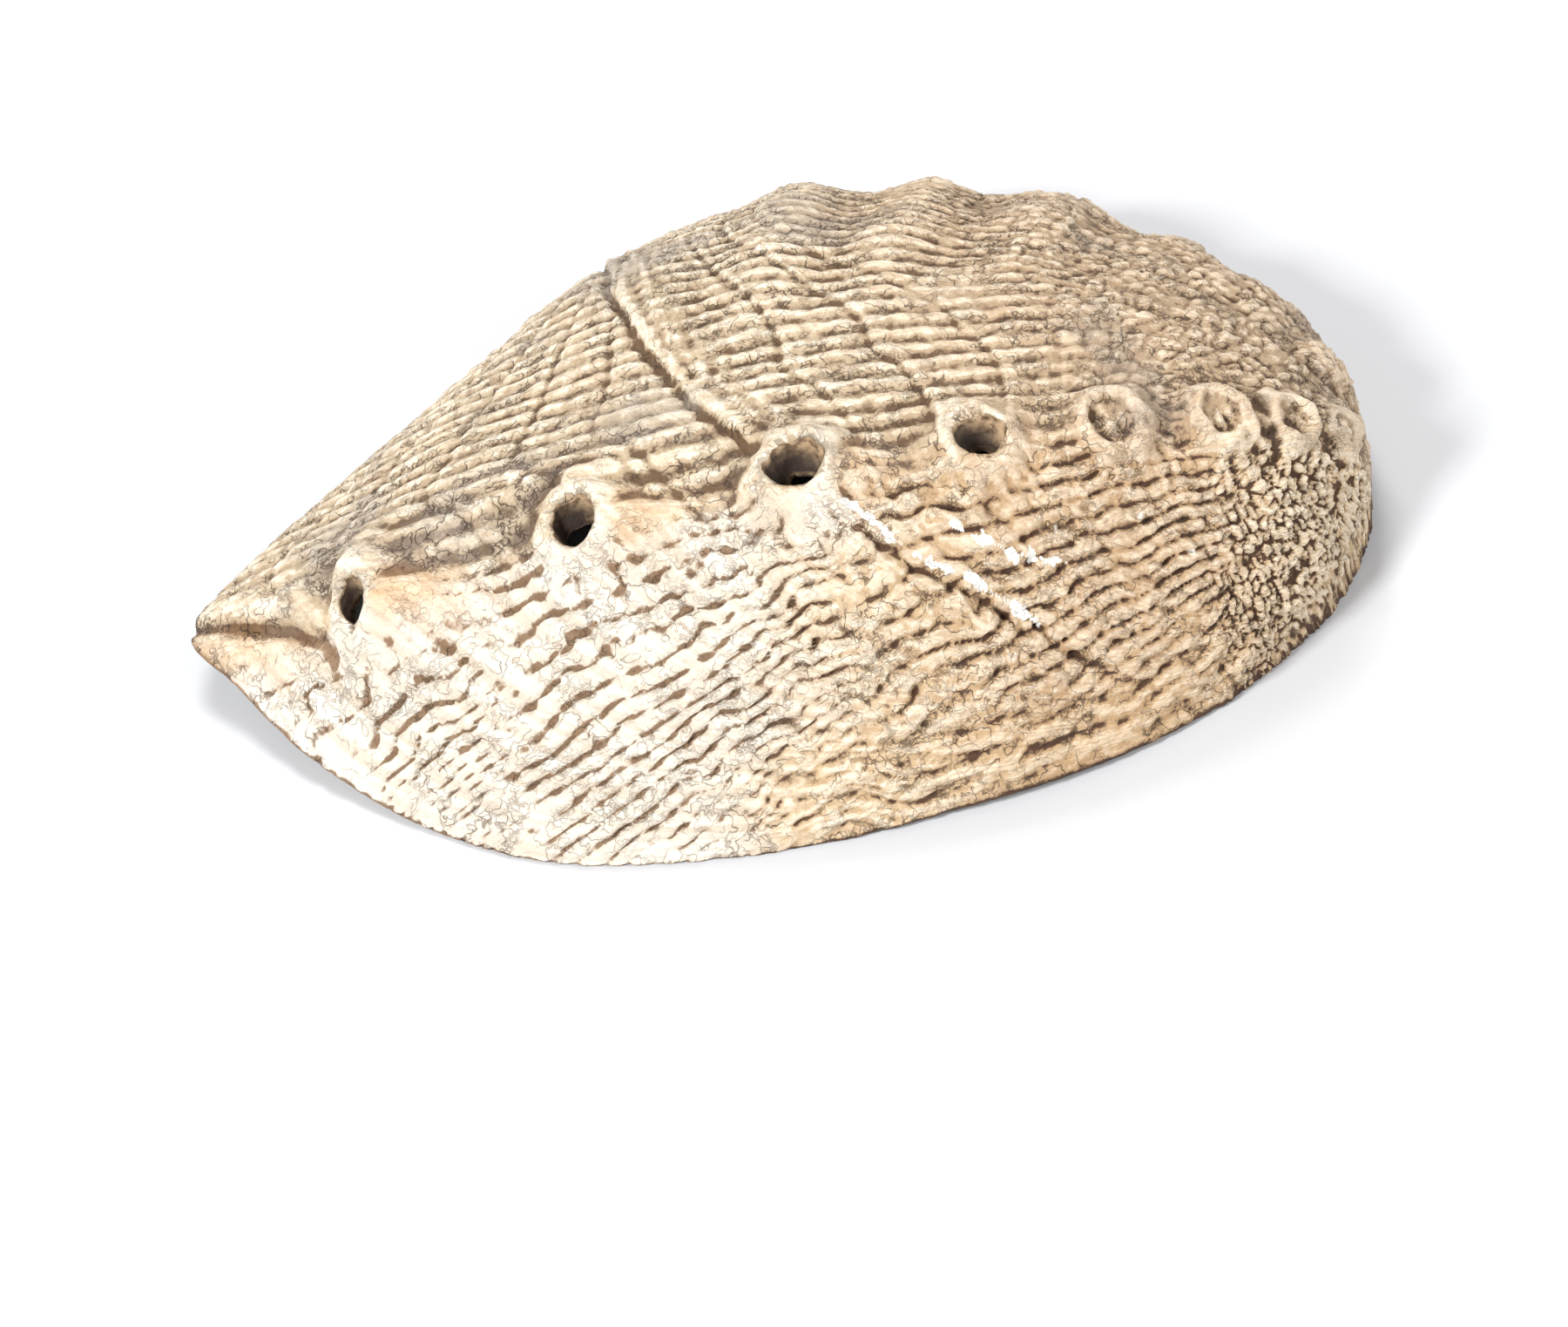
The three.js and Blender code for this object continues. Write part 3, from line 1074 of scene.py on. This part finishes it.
@dataclass(frozen=True)
class BoreFinish:
    """The walls of the tubes, in fine dark layers, with painted shade that darkens them down the bore."""

    pale: str = "b79c7b"
    dark: str = "5a432f"
    # Painted shade deep in the bore.
    deep: str = "2a1c13"
    roughness: float = 0.8

    def material(self) -> bpy.types.Material:
        """Makes the material."""
        made, kit, shader = new_material("tube_wall")
        place = kit.node("ShaderNodeTexCoord").outputs["Object"]
        layers = kit.noise(place, 900.0, 4.0, 0.6)
        color = kit.mix(kit.ramp(layers, 0.35, 0.65), paint(self.dark), paint(self.pale))
        # Painted shade: the walls darken down the bore and on one side of it.
        color = kit.mix(kit.attribute("bore_shade"), color, paint(self.deep))
        kit.link(color, shader.inputs["Base Color"])
        shader.inputs["Roughness"].default_value = self.roughness
        kit.bump(layers, 0.0004, 0.8, shader)
        return made


def new_material(name: str) -> tuple[bpy.types.Material, NodeKit, bpy.types.Node]:
    """Starts a material with one plain shader.

    Args:
        name: the material's name.

    Returns:
        The material, its kit and its Principled shader.
    """
    made = bpy.data.materials.new(name)
    made.use_nodes = True
    kit = NodeKit(made.node_tree)
    shader = made.node_tree.nodes["Principled BSDF"]
    return made, kit, shader


@dataclass
class AbaloneShell:
    """The shell: its cup, its relief, its tubes and its finishes."""

    form: ShellForm = field(default_factory=ShellForm)
    spiral: Spiral = field(default_factory=Spiral)
    relief: Relief = field(default_factory=Relief)
    tubes: tuple[Tube, ...] = (
        Tube(0.148, 3.4, 2.9, bore=1.75, lean=0.3, buttress=1.25, reach=18.0, squeeze=0.72, tilt=0.3),
        Tube(0.372, 3.8, 3.8, bore=2.3, lean=0.12, buttress=0.95, reach=15.0, squeeze=0.88, tilt=0.2),
        Tube(0.655, 4.0, 3.7, bore=2.45, lean=0.15, buttress=0.85, reach=12.0, tilt=0.12),
        Tube(0.965, 3.6, 2.9, bore=2.05, lean=0.2, buttress=0.55, reach=8.0),
        Tube(1.29, 3.6, 2.6, lean=0.1, buttress=0.3, reach=7.0),
        Tube(1.64, 3.3, 2.7, lean=0.1, buttress=0.2, reach=6.0),
        Tube(1.98, 2.9, 2.5, lean=0.1, buttress=0.1, reach=5.0),
        Tube(2.4, 2.4, 2.0, lean=0.0, buttress=0.0, reach=4.0),
    )
    knob_radius: float = 3.6
    knob_height: float = 1.3
    columns: int = 330
    rows: int = 249
    inner_step: int = 3
    bore_around: int = 28
    bore_steps: int = 14
    growth: GrowthMap = field(init=False, repr=False)
    move: Array = field(init=False, repr=False)

    def build(self) -> bpy.types.Object:
        """Builds the mesh and places it in the solid's box.

        Returns:
            The shell's object.
        """
        self.growth = GrowthMap(self.form, self.spiral)
        reach, angle = self._disc(self.columns, self.rows)
        outer = self.form.surface(reach, angle, 0.0, 0.0)
        normal = self._normals(outer)
        marks = self._marks(outer, reach)
        bare = outer
        outer = bare + normal * marks.pop("lift")[..., None] + marks.pop("shift")
        outer[..., 2] = np.maximum(outer[..., 2], 0.35 * (reach > 0.999))
        inner_lift = marks.pop("inner_lift")
        stock = MeshStock()
        self._skin(stock, outer, marks, inner_lift)
        obj = bpy.data.objects.new("abalone_shell", stock.mesh("abalone_shell"))
        bpy.context.scene.collection.objects.link(obj)
        self._open_tubes(obj)
        self._settle(obj, bare)
        return obj

    def _disc(self, columns: int, rows: int) -> tuple[Array, Array]:
        """Lays a square grid over the mouth's oval.

        Args:
            columns: cells along the shell.
            rows: cells across it.

        Returns:
            Each grid point's reach from the crown and its direction.
        """
        a, b = np.meshgrid(np.linspace(-1, 1, columns + 1), np.linspace(-1, 1, rows + 1), indexing="ij")
        u, v = a * np.sqrt(1 - b * b / 2), b * np.sqrt(1 - a * a / 2)
        return np.minimum(np.hypot(u, v), 1.0), np.arctan2(v, u)

    def _normals(self, points: Array) -> Array:
        """Outward normals of a grid of points."""
        along = np.gradient(points, axis=0)
        across = np.gradient(points, axis=1)
        normal = np.cross(along, across)
        size = np.linalg.norm(normal, axis=-1, keepdims=True)
        return normal / np.maximum(size, 1e-9)

    def _marks(self, outer: Array, reach: Array) -> dict[str, Array]:
        """The relief at each grid point, and what the finish needs to know there.

        Args:
            outer: the bare dome's points.
            reach: 0 at the crown to 1 at the edge.

        Returns:
            The lift along the normal, a sideways shift, and the finish's masks, among them the painted shade
            and highlight of the relief.
        """
        x, y = outer[..., 0], outer[..., 1]
        bumps = self.relief.bumps(self.growth, x, y, reach)
        lift, calm, shift, flank = self._tube_relief(outer)
        spout, lobe, spout_calm, fold = self._spout(x, y)
        calm = np.maximum(calm, spout_calm)
        calm = np.maximum(calm, 0.8 * self._worn_patch(x, y))
        guests, guest_pale = self._guests(x, y)
        rim = smooth(1.0, 0.965, reach)
        fine = bumps["fine"] * (1.0 - 0.85 * calm) * (0.45 + 0.55 * rim)
        broad = (bumps["coarse"] * (1.0 - 0.6 * calm) + lift) * (0.2 + 0.8 * rim) + spout * (0.5 + 0.5 * rim)
        total = fine + broad + guests
        # Painted shade and highlight: how far each point lies below or above its blurred surroundings, used
        # to paint hollows darker and crests paler over the shell's own brown grooves and pale crests.
        cavity_shade = total - blur(total, 10)
        wide = total - blur(total, 60)
        near = bumps["near"]
        # Paler near-left side: partly its own paler skin, partly painted light where it faces the key light;
        # the spots round the tubes add to it.
        bleached_and_lit = near * smooth(12.0, -30.0, x) * (1.0 - 0.4 * bumps["rim_band"]) * (1.0 - 0.85 * flank)
        bleached_and_lit = np.clip(bleached_and_lit + 0.5 * near * self._bleached(x, y), 0.0, 1.2)
        white = np.clip(self._strips(x, y) + guest_pale, 0.0, 1.0)
        # Painted shade towards the spire end, away from the key light, eased off near the near side's rim.
        painted_side_shade = (1.0 - near) * smooth(0.0, 30.0, x) + near * smooth(-8.0, 18.0, x) * smooth(44.0, 28.0, x)
        painted_side_shade = np.clip(painted_side_shade * (1.0 - 0.8 * near * smooth(0.82, 0.95, reach)), 0.0, 1.0)
        grey = (1.0 - near) * (1.0 - flank)
        ochre = near * smooth(0.8, 0.93, reach) * smooth(-12.0, 18.0, x) * smooth(50.0, 30.0, x)
        # The relief mask: painted shade in the hollows and painted highlight on the crests, stronger among
        # the pebbles and in the rim band, lighter in calm places and a little lighter on the near side.
        shade = (1.7 * cavity_shade + 0.3 * wide) * (1.0 - 0.6 * spout_calm) + 0.16 * calm
        shade = shade * (1.0 + bumps["pebbled"]) * (1.0 + 0.3 * bumps["rim_band"])
        shade = shade * (1.0 - 0.2 * near) + 0.09 * near
        # A dark line along the very edge, partly the shell's brown edge and partly painted shadow at the rim;
        # the fold's painted shadow line is taken off too.
        shade = shade - 0.7 * smooth(0.995, 0.9995, reach) - fold
        return {"lift": total, "shift": shift, "inner_lift": broad, "relief": shade,
                "back": bumps["back"], "across": bumps["across"], "grey": grey, "bleached_and_lit": bleached_and_lit,
                "peach": np.clip(flank + lobe, 0.0, 1.0), "ochre": ochre, "painted_side_shade": painted_side_shade,
                "white": white}

    def _worn_patch(self, x: Array, y: Array) -> Array:
        """The place on the broad side where the cords are worn flat."""
        ragged = Lattice(97).rough(x / 3.0, y / 3.0, 2)
        return smooth(1.2, 0.7, np.hypot((x - 18.5) / 4.6, (y - 5.5) / 3.0) + 0.3 * ragged)

    def _guests(self, x: Array, y: Array) -> tuple[Array, Array]:
        """Worm tubes and barnacles that grew on the shell.

        Args:
            x: places in plan.
            y: places in plan.

        Returns:
            The lift, and how pale they are.
        """
        ragged = Lattice(101)
        lift, pale = np.zeros_like(x), np.zeros_like(x)
        for px, py, size, open_top in GUESTS:
            away = np.hypot(x - px, y - py) / size + 0.25 * ragged.hills(x / 0.9 + px, y / 0.9)
            body = smooth(1.3, 0.5, away)
            pit = smooth(0.75, 0.2, away) if open_top else 0.0
            lift += size * 0.55 * (body - 1.1 * pit)
            pale = np.maximum(pale, 0.4 * body)
        return lift, pale

    def _bleached(self, x: Array, y: Array) -> Array:
        """Soft bleached spots round the tubes."""
        total = np.zeros_like(x)
        for (px, py), size in BLEACHED_SPOTS:
            total = np.maximum(total, np.exp(-((x - px) ** 2 + (1.4 * (y - py)) ** 2) / size ** 2))
        return total

    def _strips(self, x: Array, y: Array) -> Array:
        """Bleached strips along old edges."""
        ragged = Lattice(83)
        total = np.zeros_like(x)
        for strip in BLEACHED_STRIPS:
            away, share = strip.measure(x, y)
            width = 0.32 - 0.2 * share + 0.7 * ragged.rough(x / 1.9, y / 1.9, 3)
            ends = smooth(0.0, 0.06, share) * smooth(1.0, 0.94, share)
            total = np.maximum(total, smooth(1.3, 0.7, np.abs(away) / np.maximum(width, 0.05)) * ends)
        return total

    def _tube_relief(self, outer: Array) -> tuple[Array, Array, Array, Array]:
        """Collars, buttresses and saddles of the row of tubes.

        Args:
            outer: the bare dome's points.

        Returns:
            The lift, how calm the skin is there, the lean's shift, and the peach flanks.
        """
        wobble = Lattice(71)
        lift = np.zeros(outer.shape[:2])
        calm = np.zeros_like(lift)
        flank = np.zeros_like(lift)
        shift = np.zeros_like(outer)
        knob = np.hypot(outer[..., 0] - self.spiral.spire[0], outer[..., 1] - self.spiral.spire[1])
        lift += self.knob_height * smooth(self.knob_radius, 0.3 * self.knob_radius, knob)
        for tube in self.tubes:
            centre, up, ahead, aside = self._stand(tube)
            offset = outer - centre
            u, v = offset @ ahead, offset @ aside
            radius = np.hypot(u / tube.squeeze, v * tube.squeeze)
            turn = np.arctan2(v, u)
            uneven = 1.0 + 0.12 * wobble.rough(u / 4.0 + tube.age * 31, v / 4.0, 2)
            share = radius / (tube.rim * uneven)
            outside = np.exp(-np.maximum(share - 0.88, 0.0) ** 1.3 / (0.46 if tube.bore else 0.28))
            top = 1.0 + 0.16 * wobble.rough(u / 2.6 + 11.0 * tube.age, v / 2.6, 2)
            top = top - tube.tilt * np.clip(u / tube.rim, -1.2, 1.2)
            if tube.bore:
                collar = tube.height * outside * top * (1.0 - 0.25 * smooth(0.85, 0.5, share))
            else:
                bent = np.hypot(u - 0.2 * tube.rim, v - 0.1 * tube.rim) / tube.rim
                swirl = np.cos(TAU * bent * 1.25 + turn + 4.0 * tube.age)
                dish = smooth(0.78, 0.5, np.hypot(u - 0.15 * tube.rim, v + 0.12 * tube.rim) / tube.rim)
                collar = tube.height * outside * top * (1.0 - (0.5 if tube.age < 1.5 else 0.3) * dish)
                lumps = wobble.rough(u / 1.9, v / 1.9 + 13.0 * tube.age, 3)
                collar += tube.height * (0.08 * swirl + 0.15 * lumps) * smooth(1.1, 0.7, share)
            tail = smooth(-tube.reach, -0.2 * tube.rim, u) * (u < 0) * bell(v + 0.1 * u, 0.8 * tube.rim)
            ridge = tube.buttress * tube.height * 0.9 * tail * (1.0 - smooth(1.1, 0.7, share))
            behind = np.hypot(u + 1.1 * tube.rim, v - 0.9 * tube.rim)
            mound = tube.buttress * 1.5 * bell(behind, 1.5 * tube.rim)
            folds = np.cos(9.0 * turn + 3.0 * wobble.rough(u / 3.0, v / 3.0 + 5.0, 2) + tube.age * 9)
            skirt = smooth(1.0, 1.3, share) * smooth(2.6, 1.5, share) * smooth(-0.2, 0.6, v / tube.rim)
            creases = np.cos(TAU * (v + 0.25 * u + 0.8 * wobble.rough(u / 5.0, v / 2.0, 2)) / 2.4)
            lift += np.maximum(collar, ridge + mound) + 0.09 * tube.height * folds * skirt
            lift += 0.3 * tube.buttress * creases * tail * smooth(1.1, 1.5, share)
            near = np.exp(-np.maximum(share - 1.0, 0.0) ** 2 / (0.4 if tube.bore else 0.08))
            calm = np.maximum(calm, np.maximum(near, 0.9 * tail * min(1.0, tube.buttress * 1.6)))
            flank = np.maximum(flank, tube.buttress * tail * smooth(0.9, 1.5, share))
            shift += (ahead * tube.lean)[None, None] * (collar * smooth(2.0, 1.0, share))[..., None]
        return lift, calm, shift, flank

    def _stand(self, tube: Tube) -> tuple[Array, Array, Array, Array]:
        """Where a tube stands.

        Args:
            tube: the tube.

        Returns:
            Its foot, its upward direction, the way towards the growing edge, and the way aside.
        """
        x, y = (float(value) for value in self.spiral.place(tube.age))
        nx, ny = (float(value) for value in self.spiral.place(tube.age - 0.02))
        foot = np.array([x, y, float(self.form.height(np.array(x), np.array(y)))])
        up = self.form.normal(x, y)
        ahead = np.array([nx - x, ny - y, 0.0])
        ahead -= up * (ahead @ up)
        ahead /= np.linalg.norm(ahead)
        return foot, up, ahead, np.cross(up, ahead)

    def _spout(self, x: Array, y: Array) -> tuple[Array, Array, Array, Array]:
        """The furrow at the tip, where the next tube is forming, and the lobe under it.

        Args:
            x: places in plan.
            y: places in plan.

        Returns:
            The lift, the bright lobe, how calm the skin is there, and the painted shadow line in the fold's
            crease.
        """
        away, share = SPOUT_FURROW.measure(x, y)
        size = smooth(1.0, 0.45, share)
        below = np.maximum(-away, 0.0)
        furrow = -1.15 * size * np.where(away > 0, bell(away, 1.1), bell(away, 0.6))
        ledge = 0.4 * size * bell(away - 2.2, 1.8)
        lobe_away, lobe_share = SPOUT_LOBE.measure(x, y)
        lobe = bell(lobe_away, 1.9) * smooth(1.0, 0.7, lobe_share)
        quiet = size * np.where(away > 0, bell(away, 5.0), np.exp(-below / 3.5))
        # Painted shadow: a dark line along the crease at the top of the lobe.
        fold = 0.6 * size * bell(away - 0.15, 0.5)
        return furrow + ledge + 0.8 * lobe, 0.6 * lobe, np.clip(quiet, 0.0, 1.0), fold

    def _skin(self, stock: MeshStock, outer: Array, marks: dict[str, Array], inner_lift: Array) -> None:
        """Adds the outside, the lip and the inside as one closed skin.

        Args:
            stock: gathers the mesh.
            outer: the outside's points.
            marks: named values at them.
            inner_lift: the broad relief that the inside follows.
        """
        columns, rows = self.columns, self.rows
        first = stock.add_points(outer, marks)
        numbers = first + np.arange(outer.shape[0] * outer.shape[1]).reshape(outer.shape[:2])
        self._sheet(stock, numbers, Region.OUTSIDE, Finish.OUTSIDE.value, False)
        reach, angle = self._disc(columns, rows)
        step = self.inner_step
        reach, angle = reach[::step, ::step], angle[::step, ::step]
        inner = self.form.surface(reach, angle, self.form.crown_wall, self.form.edge_wall)
        inner += self._normals(inner) * blur(inner_lift, 5)[::step, ::step, None] * 0.9
        inner[..., 2] = np.maximum(inner[..., 2], 0.25)
        first = stock.add_points(inner)
        inside = first + np.arange(inner.shape[0] * inner.shape[1]).reshape(inner.shape[:2])
        self._sheet(stock, inside, Region.INSIDE, Finish.INSIDE.value, True)
        loop, inner_loop = self._loop(numbers), self._loop(inside)
        points = outer.reshape(-1, 3)[loop]
        target = inner.reshape(-1, 3)[inner_loop - first]
        share = np.arange(len(loop)) / step
        whole = np.arange(len(inner_loop) + 1)
        ends = np.concatenate([target, target[:1]])
        target = np.stack([np.interp(share, whole, ends[:, k]) for k in range(3)], axis=-1)
        previous = loop
        for place, (part, drop) in enumerate(((0.25, 0.35), (0.75, 0.35))):
            ring = points * (1 - part) + target * part
            ring[:, 2] = np.maximum(ring[:, 2] - drop, 0.0)
            faded = {name: value.ravel()[loop] * (1 - part) for name, value in marks.items()}
            start = stock.add_points(ring, faded)
            current = start + np.arange(len(loop))
            self._strip(stock, previous, current, place / 3.0, (place + 1) / 3.0)
            previous = current
        wide = np.repeat(inner_loop, step)
        after = np.roll(wide, -1)
        corners = np.stack([previous, np.roll(previous, -1), after, wide], axis=-1)
        spots = self._lip_spots(len(loop), 0.67, 1.0)
        fan = wide == after
        outside = Finish.OUTSIDE.value
        stock.add_faces(corners[~fan][:, ::-1], spots[~fan][:, ::-1], outside)
        stock.add_faces(corners[fan][:, [2, 1, 0]], spots[fan][:, [2, 1, 0]], outside)

    def _sheet(self, stock: MeshStock, numbers: Array, region: Region, slot: int, turned: bool) -> None:
        """Adds the faces of a grid.

        Args:
            stock: gathers the mesh.
            numbers: the grid's vertex numbers.
            region: its place in the texture map.
            slot: the material's place on the object.
            turned: faces the other way.
        """
        corners = np.stack([numbers[:-1, :-1], numbers[1:, :-1], numbers[1:, 1:], numbers[:-1, 1:]], axis=-1)
        u, v = np.meshgrid(*(np.linspace(0, 1, count) for count in numbers.shape), indexing="ij")
        spot = region.spot(u, v)
        spots = np.stack([spot[:-1, :-1], spot[1:, :-1], spot[1:, 1:], spot[:-1, 1:]], axis=2)
        if turned:
            corners, spots = corners[..., ::-1], spots[:, :, ::-1]
        stock.add_faces(corners, spots, slot)

    def _loop(self, numbers: Array) -> Array:
        """The vertex numbers round a grid's border, counter-clockwise."""
        return np.concatenate([numbers[:-1, 0], numbers[-1, :-1], numbers[:0:-1, -1], numbers[0, :0:-1]])

    def _strip(self, stock: MeshStock, first: Array, second: Array, low: float, high: float) -> None:
        """Joins two rings of the lip.

        Args:
            stock: gathers the mesh.
            first: vertex numbers of the outer ring.
            second: vertex numbers of the inner ring.
            low: the outer ring's place across the lip in the texture map.
            high: the inner ring's place.
        """
        corners = np.stack([second, np.roll(second, -1), np.roll(first, -1), first], axis=-1)
        stock.add_faces(corners, self._lip_spots(len(first), high, low), Finish.OUTSIDE.value)

    def _lip_spots(self, count: int, first: float, second: float) -> Array:
        """Places a ring of faces across the lip's part of the texture map.

        Args:
            count: how many faces.
            first: the place across of each face's first two corners.
            second: the place across of its other two.

        Returns:
            Four texture places a face.
        """
        along = np.arange(count) / count
        after = along + 1 / count
        places = ((along, first), (after, first), (after, second), (along, second))
        return np.stack([Region.LIP.spot(u, np.full(count, v)) for u, v in places], 1)

    def _open_tubes(self, obj: bpy.types.Object) -> None:
        """Cuts the open tubes right through the wall.

        Args:
            obj: the shell's object, still in the maker's frame.
        """
        ragged = Lattice(91)
        around, steps = self.bore_around, self.bore_steps
        turn = np.arange(around) / around * TAU
        for place, tube in enumerate(tube for tube in self.tubes if tube.bore):
            foot, up, ahead, aside = self._stand(tube)
            stock = MeshStock()
            rings = []
            for i in range(steps):
                share = i / (steps - 1)
                rise = tube.height + 1.5 - share * (tube.height + 8.5)
                lean = tube.lean * max(0.0, rise) * 0.9
                radius = tube.bore * (1.16 - 0.62 * smooth(0.05, 0.6, np.array(share)))
                radius = radius * (1.0 + 0.13 * ragged.rough(1.5 * np.cos(turn) + 9 * place,
                                                             1.5 * np.sin(turn) + 0.3 * rise, 2))
                slant = 0.6 * max(0.0, 0.6 * tube.height - rise)
                ring = (foot + up * rise + ahead * lean + aside * slant
                        + np.outer(1.12 * tube.squeeze * radius * np.cos(turn), ahead)
                        + np.outer(0.92 / tube.squeeze * radius * np.sin(turn), aside))
                # Painted shade: the walls darken down the bore and more on one side, where the bore looks
                # into shadow.
                bore_shade = smooth(tube.height * 0.85, tube.height * 0.85 - 1.8, rise - 0.8 * np.cos(turn))
                rings.append(stock.add_points(ring, {"bore_shade": bore_shade}) + np.arange(around))
            for i in range(steps - 1):
                upper, lower = rings[i], rings[i + 1]
                corners = np.stack([upper, lower, np.roll(lower, -1), np.roll(upper, -1)], -1)
                u = (place + np.arange(around) / around) / 4.0
                low, high = i / steps + 0 * u, (i + 1) / steps + 0 * u
                wide = u + 0.25 / around
                spots = np.stack([Region.BORES.spot(u, low), Region.BORES.spot(u, high),
                                  Region.BORES.spot(wide, high), Region.BORES.spot(wide, low)], 1)
                stock.add_faces(corners, spots, Finish.BORES.value)
            for ring in (rings[0], rings[-1][::-1]):
                spots = Region.BORES.spot(0.5 + 0 * ring, 0.99 + 0 * ring)
                stock.add_faces(ring[None, :], spots[None], Finish.BORES.value)
            cutter = bpy.data.objects.new("cutter", stock.mesh("cutter"))
            bpy.context.scene.collection.objects.link(cutter)
            cut = obj.modifiers.new("bore", "BOOLEAN")
            cut.operation = "DIFFERENCE"
            cut.object = cutter
            cut.solver = "MANIFOLD"
            cut.material_mode = "INDEX"
        bpy.context.view_layer.update()
        whole = bpy.data.meshes.new_from_object(obj.evaluated_get(bpy.context.evaluated_depsgraph_get()))
        for cut in list(obj.modifiers):
            cutter = cut.object
            obj.modifiers.remove(cut)
            bpy.data.objects.remove(cutter)
        obj.data = whole

    def _settle(self, obj: bpy.types.Object, bare: Array) -> None:
        """Moves the shell so that its bare cup fills the solid's box.

        Args:
            obj: the shell's object.
            bare: the outside's points without relief, in the maker's frame.
        """
        low, high = (np.array(corner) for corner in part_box("shell"))
        middle = 0.5 * (bare.reshape(-1, 3).min(axis=0) + bare.reshape(-1, 3).max(axis=0)) * MM
        centre = 0.5 * (low + high)
        self.move = np.array([centre[0] - middle[0], centre[1] - middle[1], low[2]])
        points = np.empty(len(obj.data.vertices) * 3, np.float32)
        obj.data.vertices.foreach_get("co", points)
        obj.data.vertices.foreach_set("co", (points.reshape(-1, 3) + self.move).astype(np.float32).ravel())
        obj.data.update()

    def dress(self, obj: bpy.types.Object) -> None:
        """Gives the shell its finishes and ties it to the solid.

        Args:
            obj: the shell's object.
        """
        relief, bands, cracks = relief_tone_and_shade_group(), growth_bands_group(), crack_group()
        obj.data.materials[Finish.OUTSIDE.value] = OuterFinish().material(relief, bands, cracks)
        obj.data.materials[Finish.INSIDE.value] = NacreFinish().material()
        obj.data.materials[Finish.BORES.value] = BoreFinish().material()
        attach(obj, "root")
        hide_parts("shell")


@dataclass
class Studio:
    """A plain pale floor, soft lights and the camera."""

    azimuth: float = -20.0
    elevation: float = 44.0
    distance: float = 650.0
    view_width: float = 153.2
    aim: tuple[float, float] = (0.0, -15.8)
    half_floor: float = 3.0
    floor_paint: str = "c3c4c7"
    sky: tuple[float, float, float, float] = (1.0, 0.98, 0.95, 1.0)
    sky_strength: float = 0.34
    lights: tuple[tuple[str, tuple[float, float, float], float, float], ...] = (
        ("key", (-0.6, -0.32, 0.52), 0.18, 9.9),
        ("back", (0.0, 0.6, 0.75), 0.35, 7.0),
        ("fill", (0.62, -0.5, 0.42), 0.5, 7.0),
    )

    def build(self, move: Array) -> None:
        """Sets the scene round the shell.

        Args:
            move: how far the shell was moved from the maker's frame, in metres.
        """
        self._floor()
        self._lights()
        self._camera(move)
        world = bpy.data.worlds.new("studio")
        bpy.context.scene.world = world
        world.use_nodes = True
        world.node_tree.nodes["Background"].inputs[0].default_value = self.sky
        world.node_tree.nodes["Background"].inputs[1].default_value = self.sky_strength
        bpy.context.scene.view_settings.view_transform = "Standard"

    def _floor(self) -> None:
        """Lays the floor."""
        half = self.half_floor
        mesh = bpy.data.meshes.new("floor")
        corners = [(-half, -half, 0), (half, -half, 0), (half, half, 0), (-half, half, 0)]
        mesh.from_pydata(corners, [], [(0, 1, 2, 3)])
        floor = bpy.data.objects.new("floor", mesh)
        bpy.context.scene.collection.objects.link(floor)
        made, _, shader = new_material("floor_paint")
        shader.inputs["Base Color"].default_value = paint(self.floor_paint)
        shader.inputs["Roughness"].default_value = 0.9
        mesh.materials.append(made)

    def _lights(self) -> None:
        """Hangs a soft key light, a back light and a fill."""
        for name, spot, size, power in self.lights:
            data = bpy.data.lights.new(name, "AREA")
            data.size = size
            data.energy = power
            light = bpy.data.objects.new(name, data)
            light.location = spot
            light.rotation_euler = (-Vector(spot)).to_track_quat("-Z", "Y").to_euler()
            bpy.context.scene.collection.objects.link(light)

    def _camera(self, move: Array) -> None:
        """Stands the camera."""
        turn, tilt = math.radians(self.azimuth), math.radians(self.elevation)
        u, v = self.aim
        cos, sin = math.cos(turn), math.sin(turn)
        target = Vector((u * cos - v * sin, u * sin + v * cos, 0.0)) * MM + Vector(move)
        ahead = Vector((-math.sin(turn) * math.cos(tilt), math.cos(turn) * math.cos(tilt), -math.sin(tilt)))
        data = bpy.data.cameras.new("camera")
        data.sensor_width = 36.0
        data.lens = data.sensor_width * self.distance / self.view_width
        data.clip_start = 0.01
        camera = bpy.data.objects.new("camera", data)
        camera.location = target - ahead * self.distance * MM
        camera.rotation_euler = ahead.to_track_quat("-Z", "Y").to_euler()
        bpy.context.scene.collection.objects.link(camera)
        bpy.context.scene.camera = camera


def main() -> None:
    """Builds the shell, dresses it, sets the studio and notes the sizes."""
    logging.basicConfig(level=logging.INFO, format="%(name)s: %(message)s")
    shell = AbaloneShell()
    obj = shell.build()
    shell.dress(obj)
    log.info("%s: %d faces", obj.name, len(obj.data.polygons))
    Studio().build(shell.move)


if __name__ == "__main__":
    main()
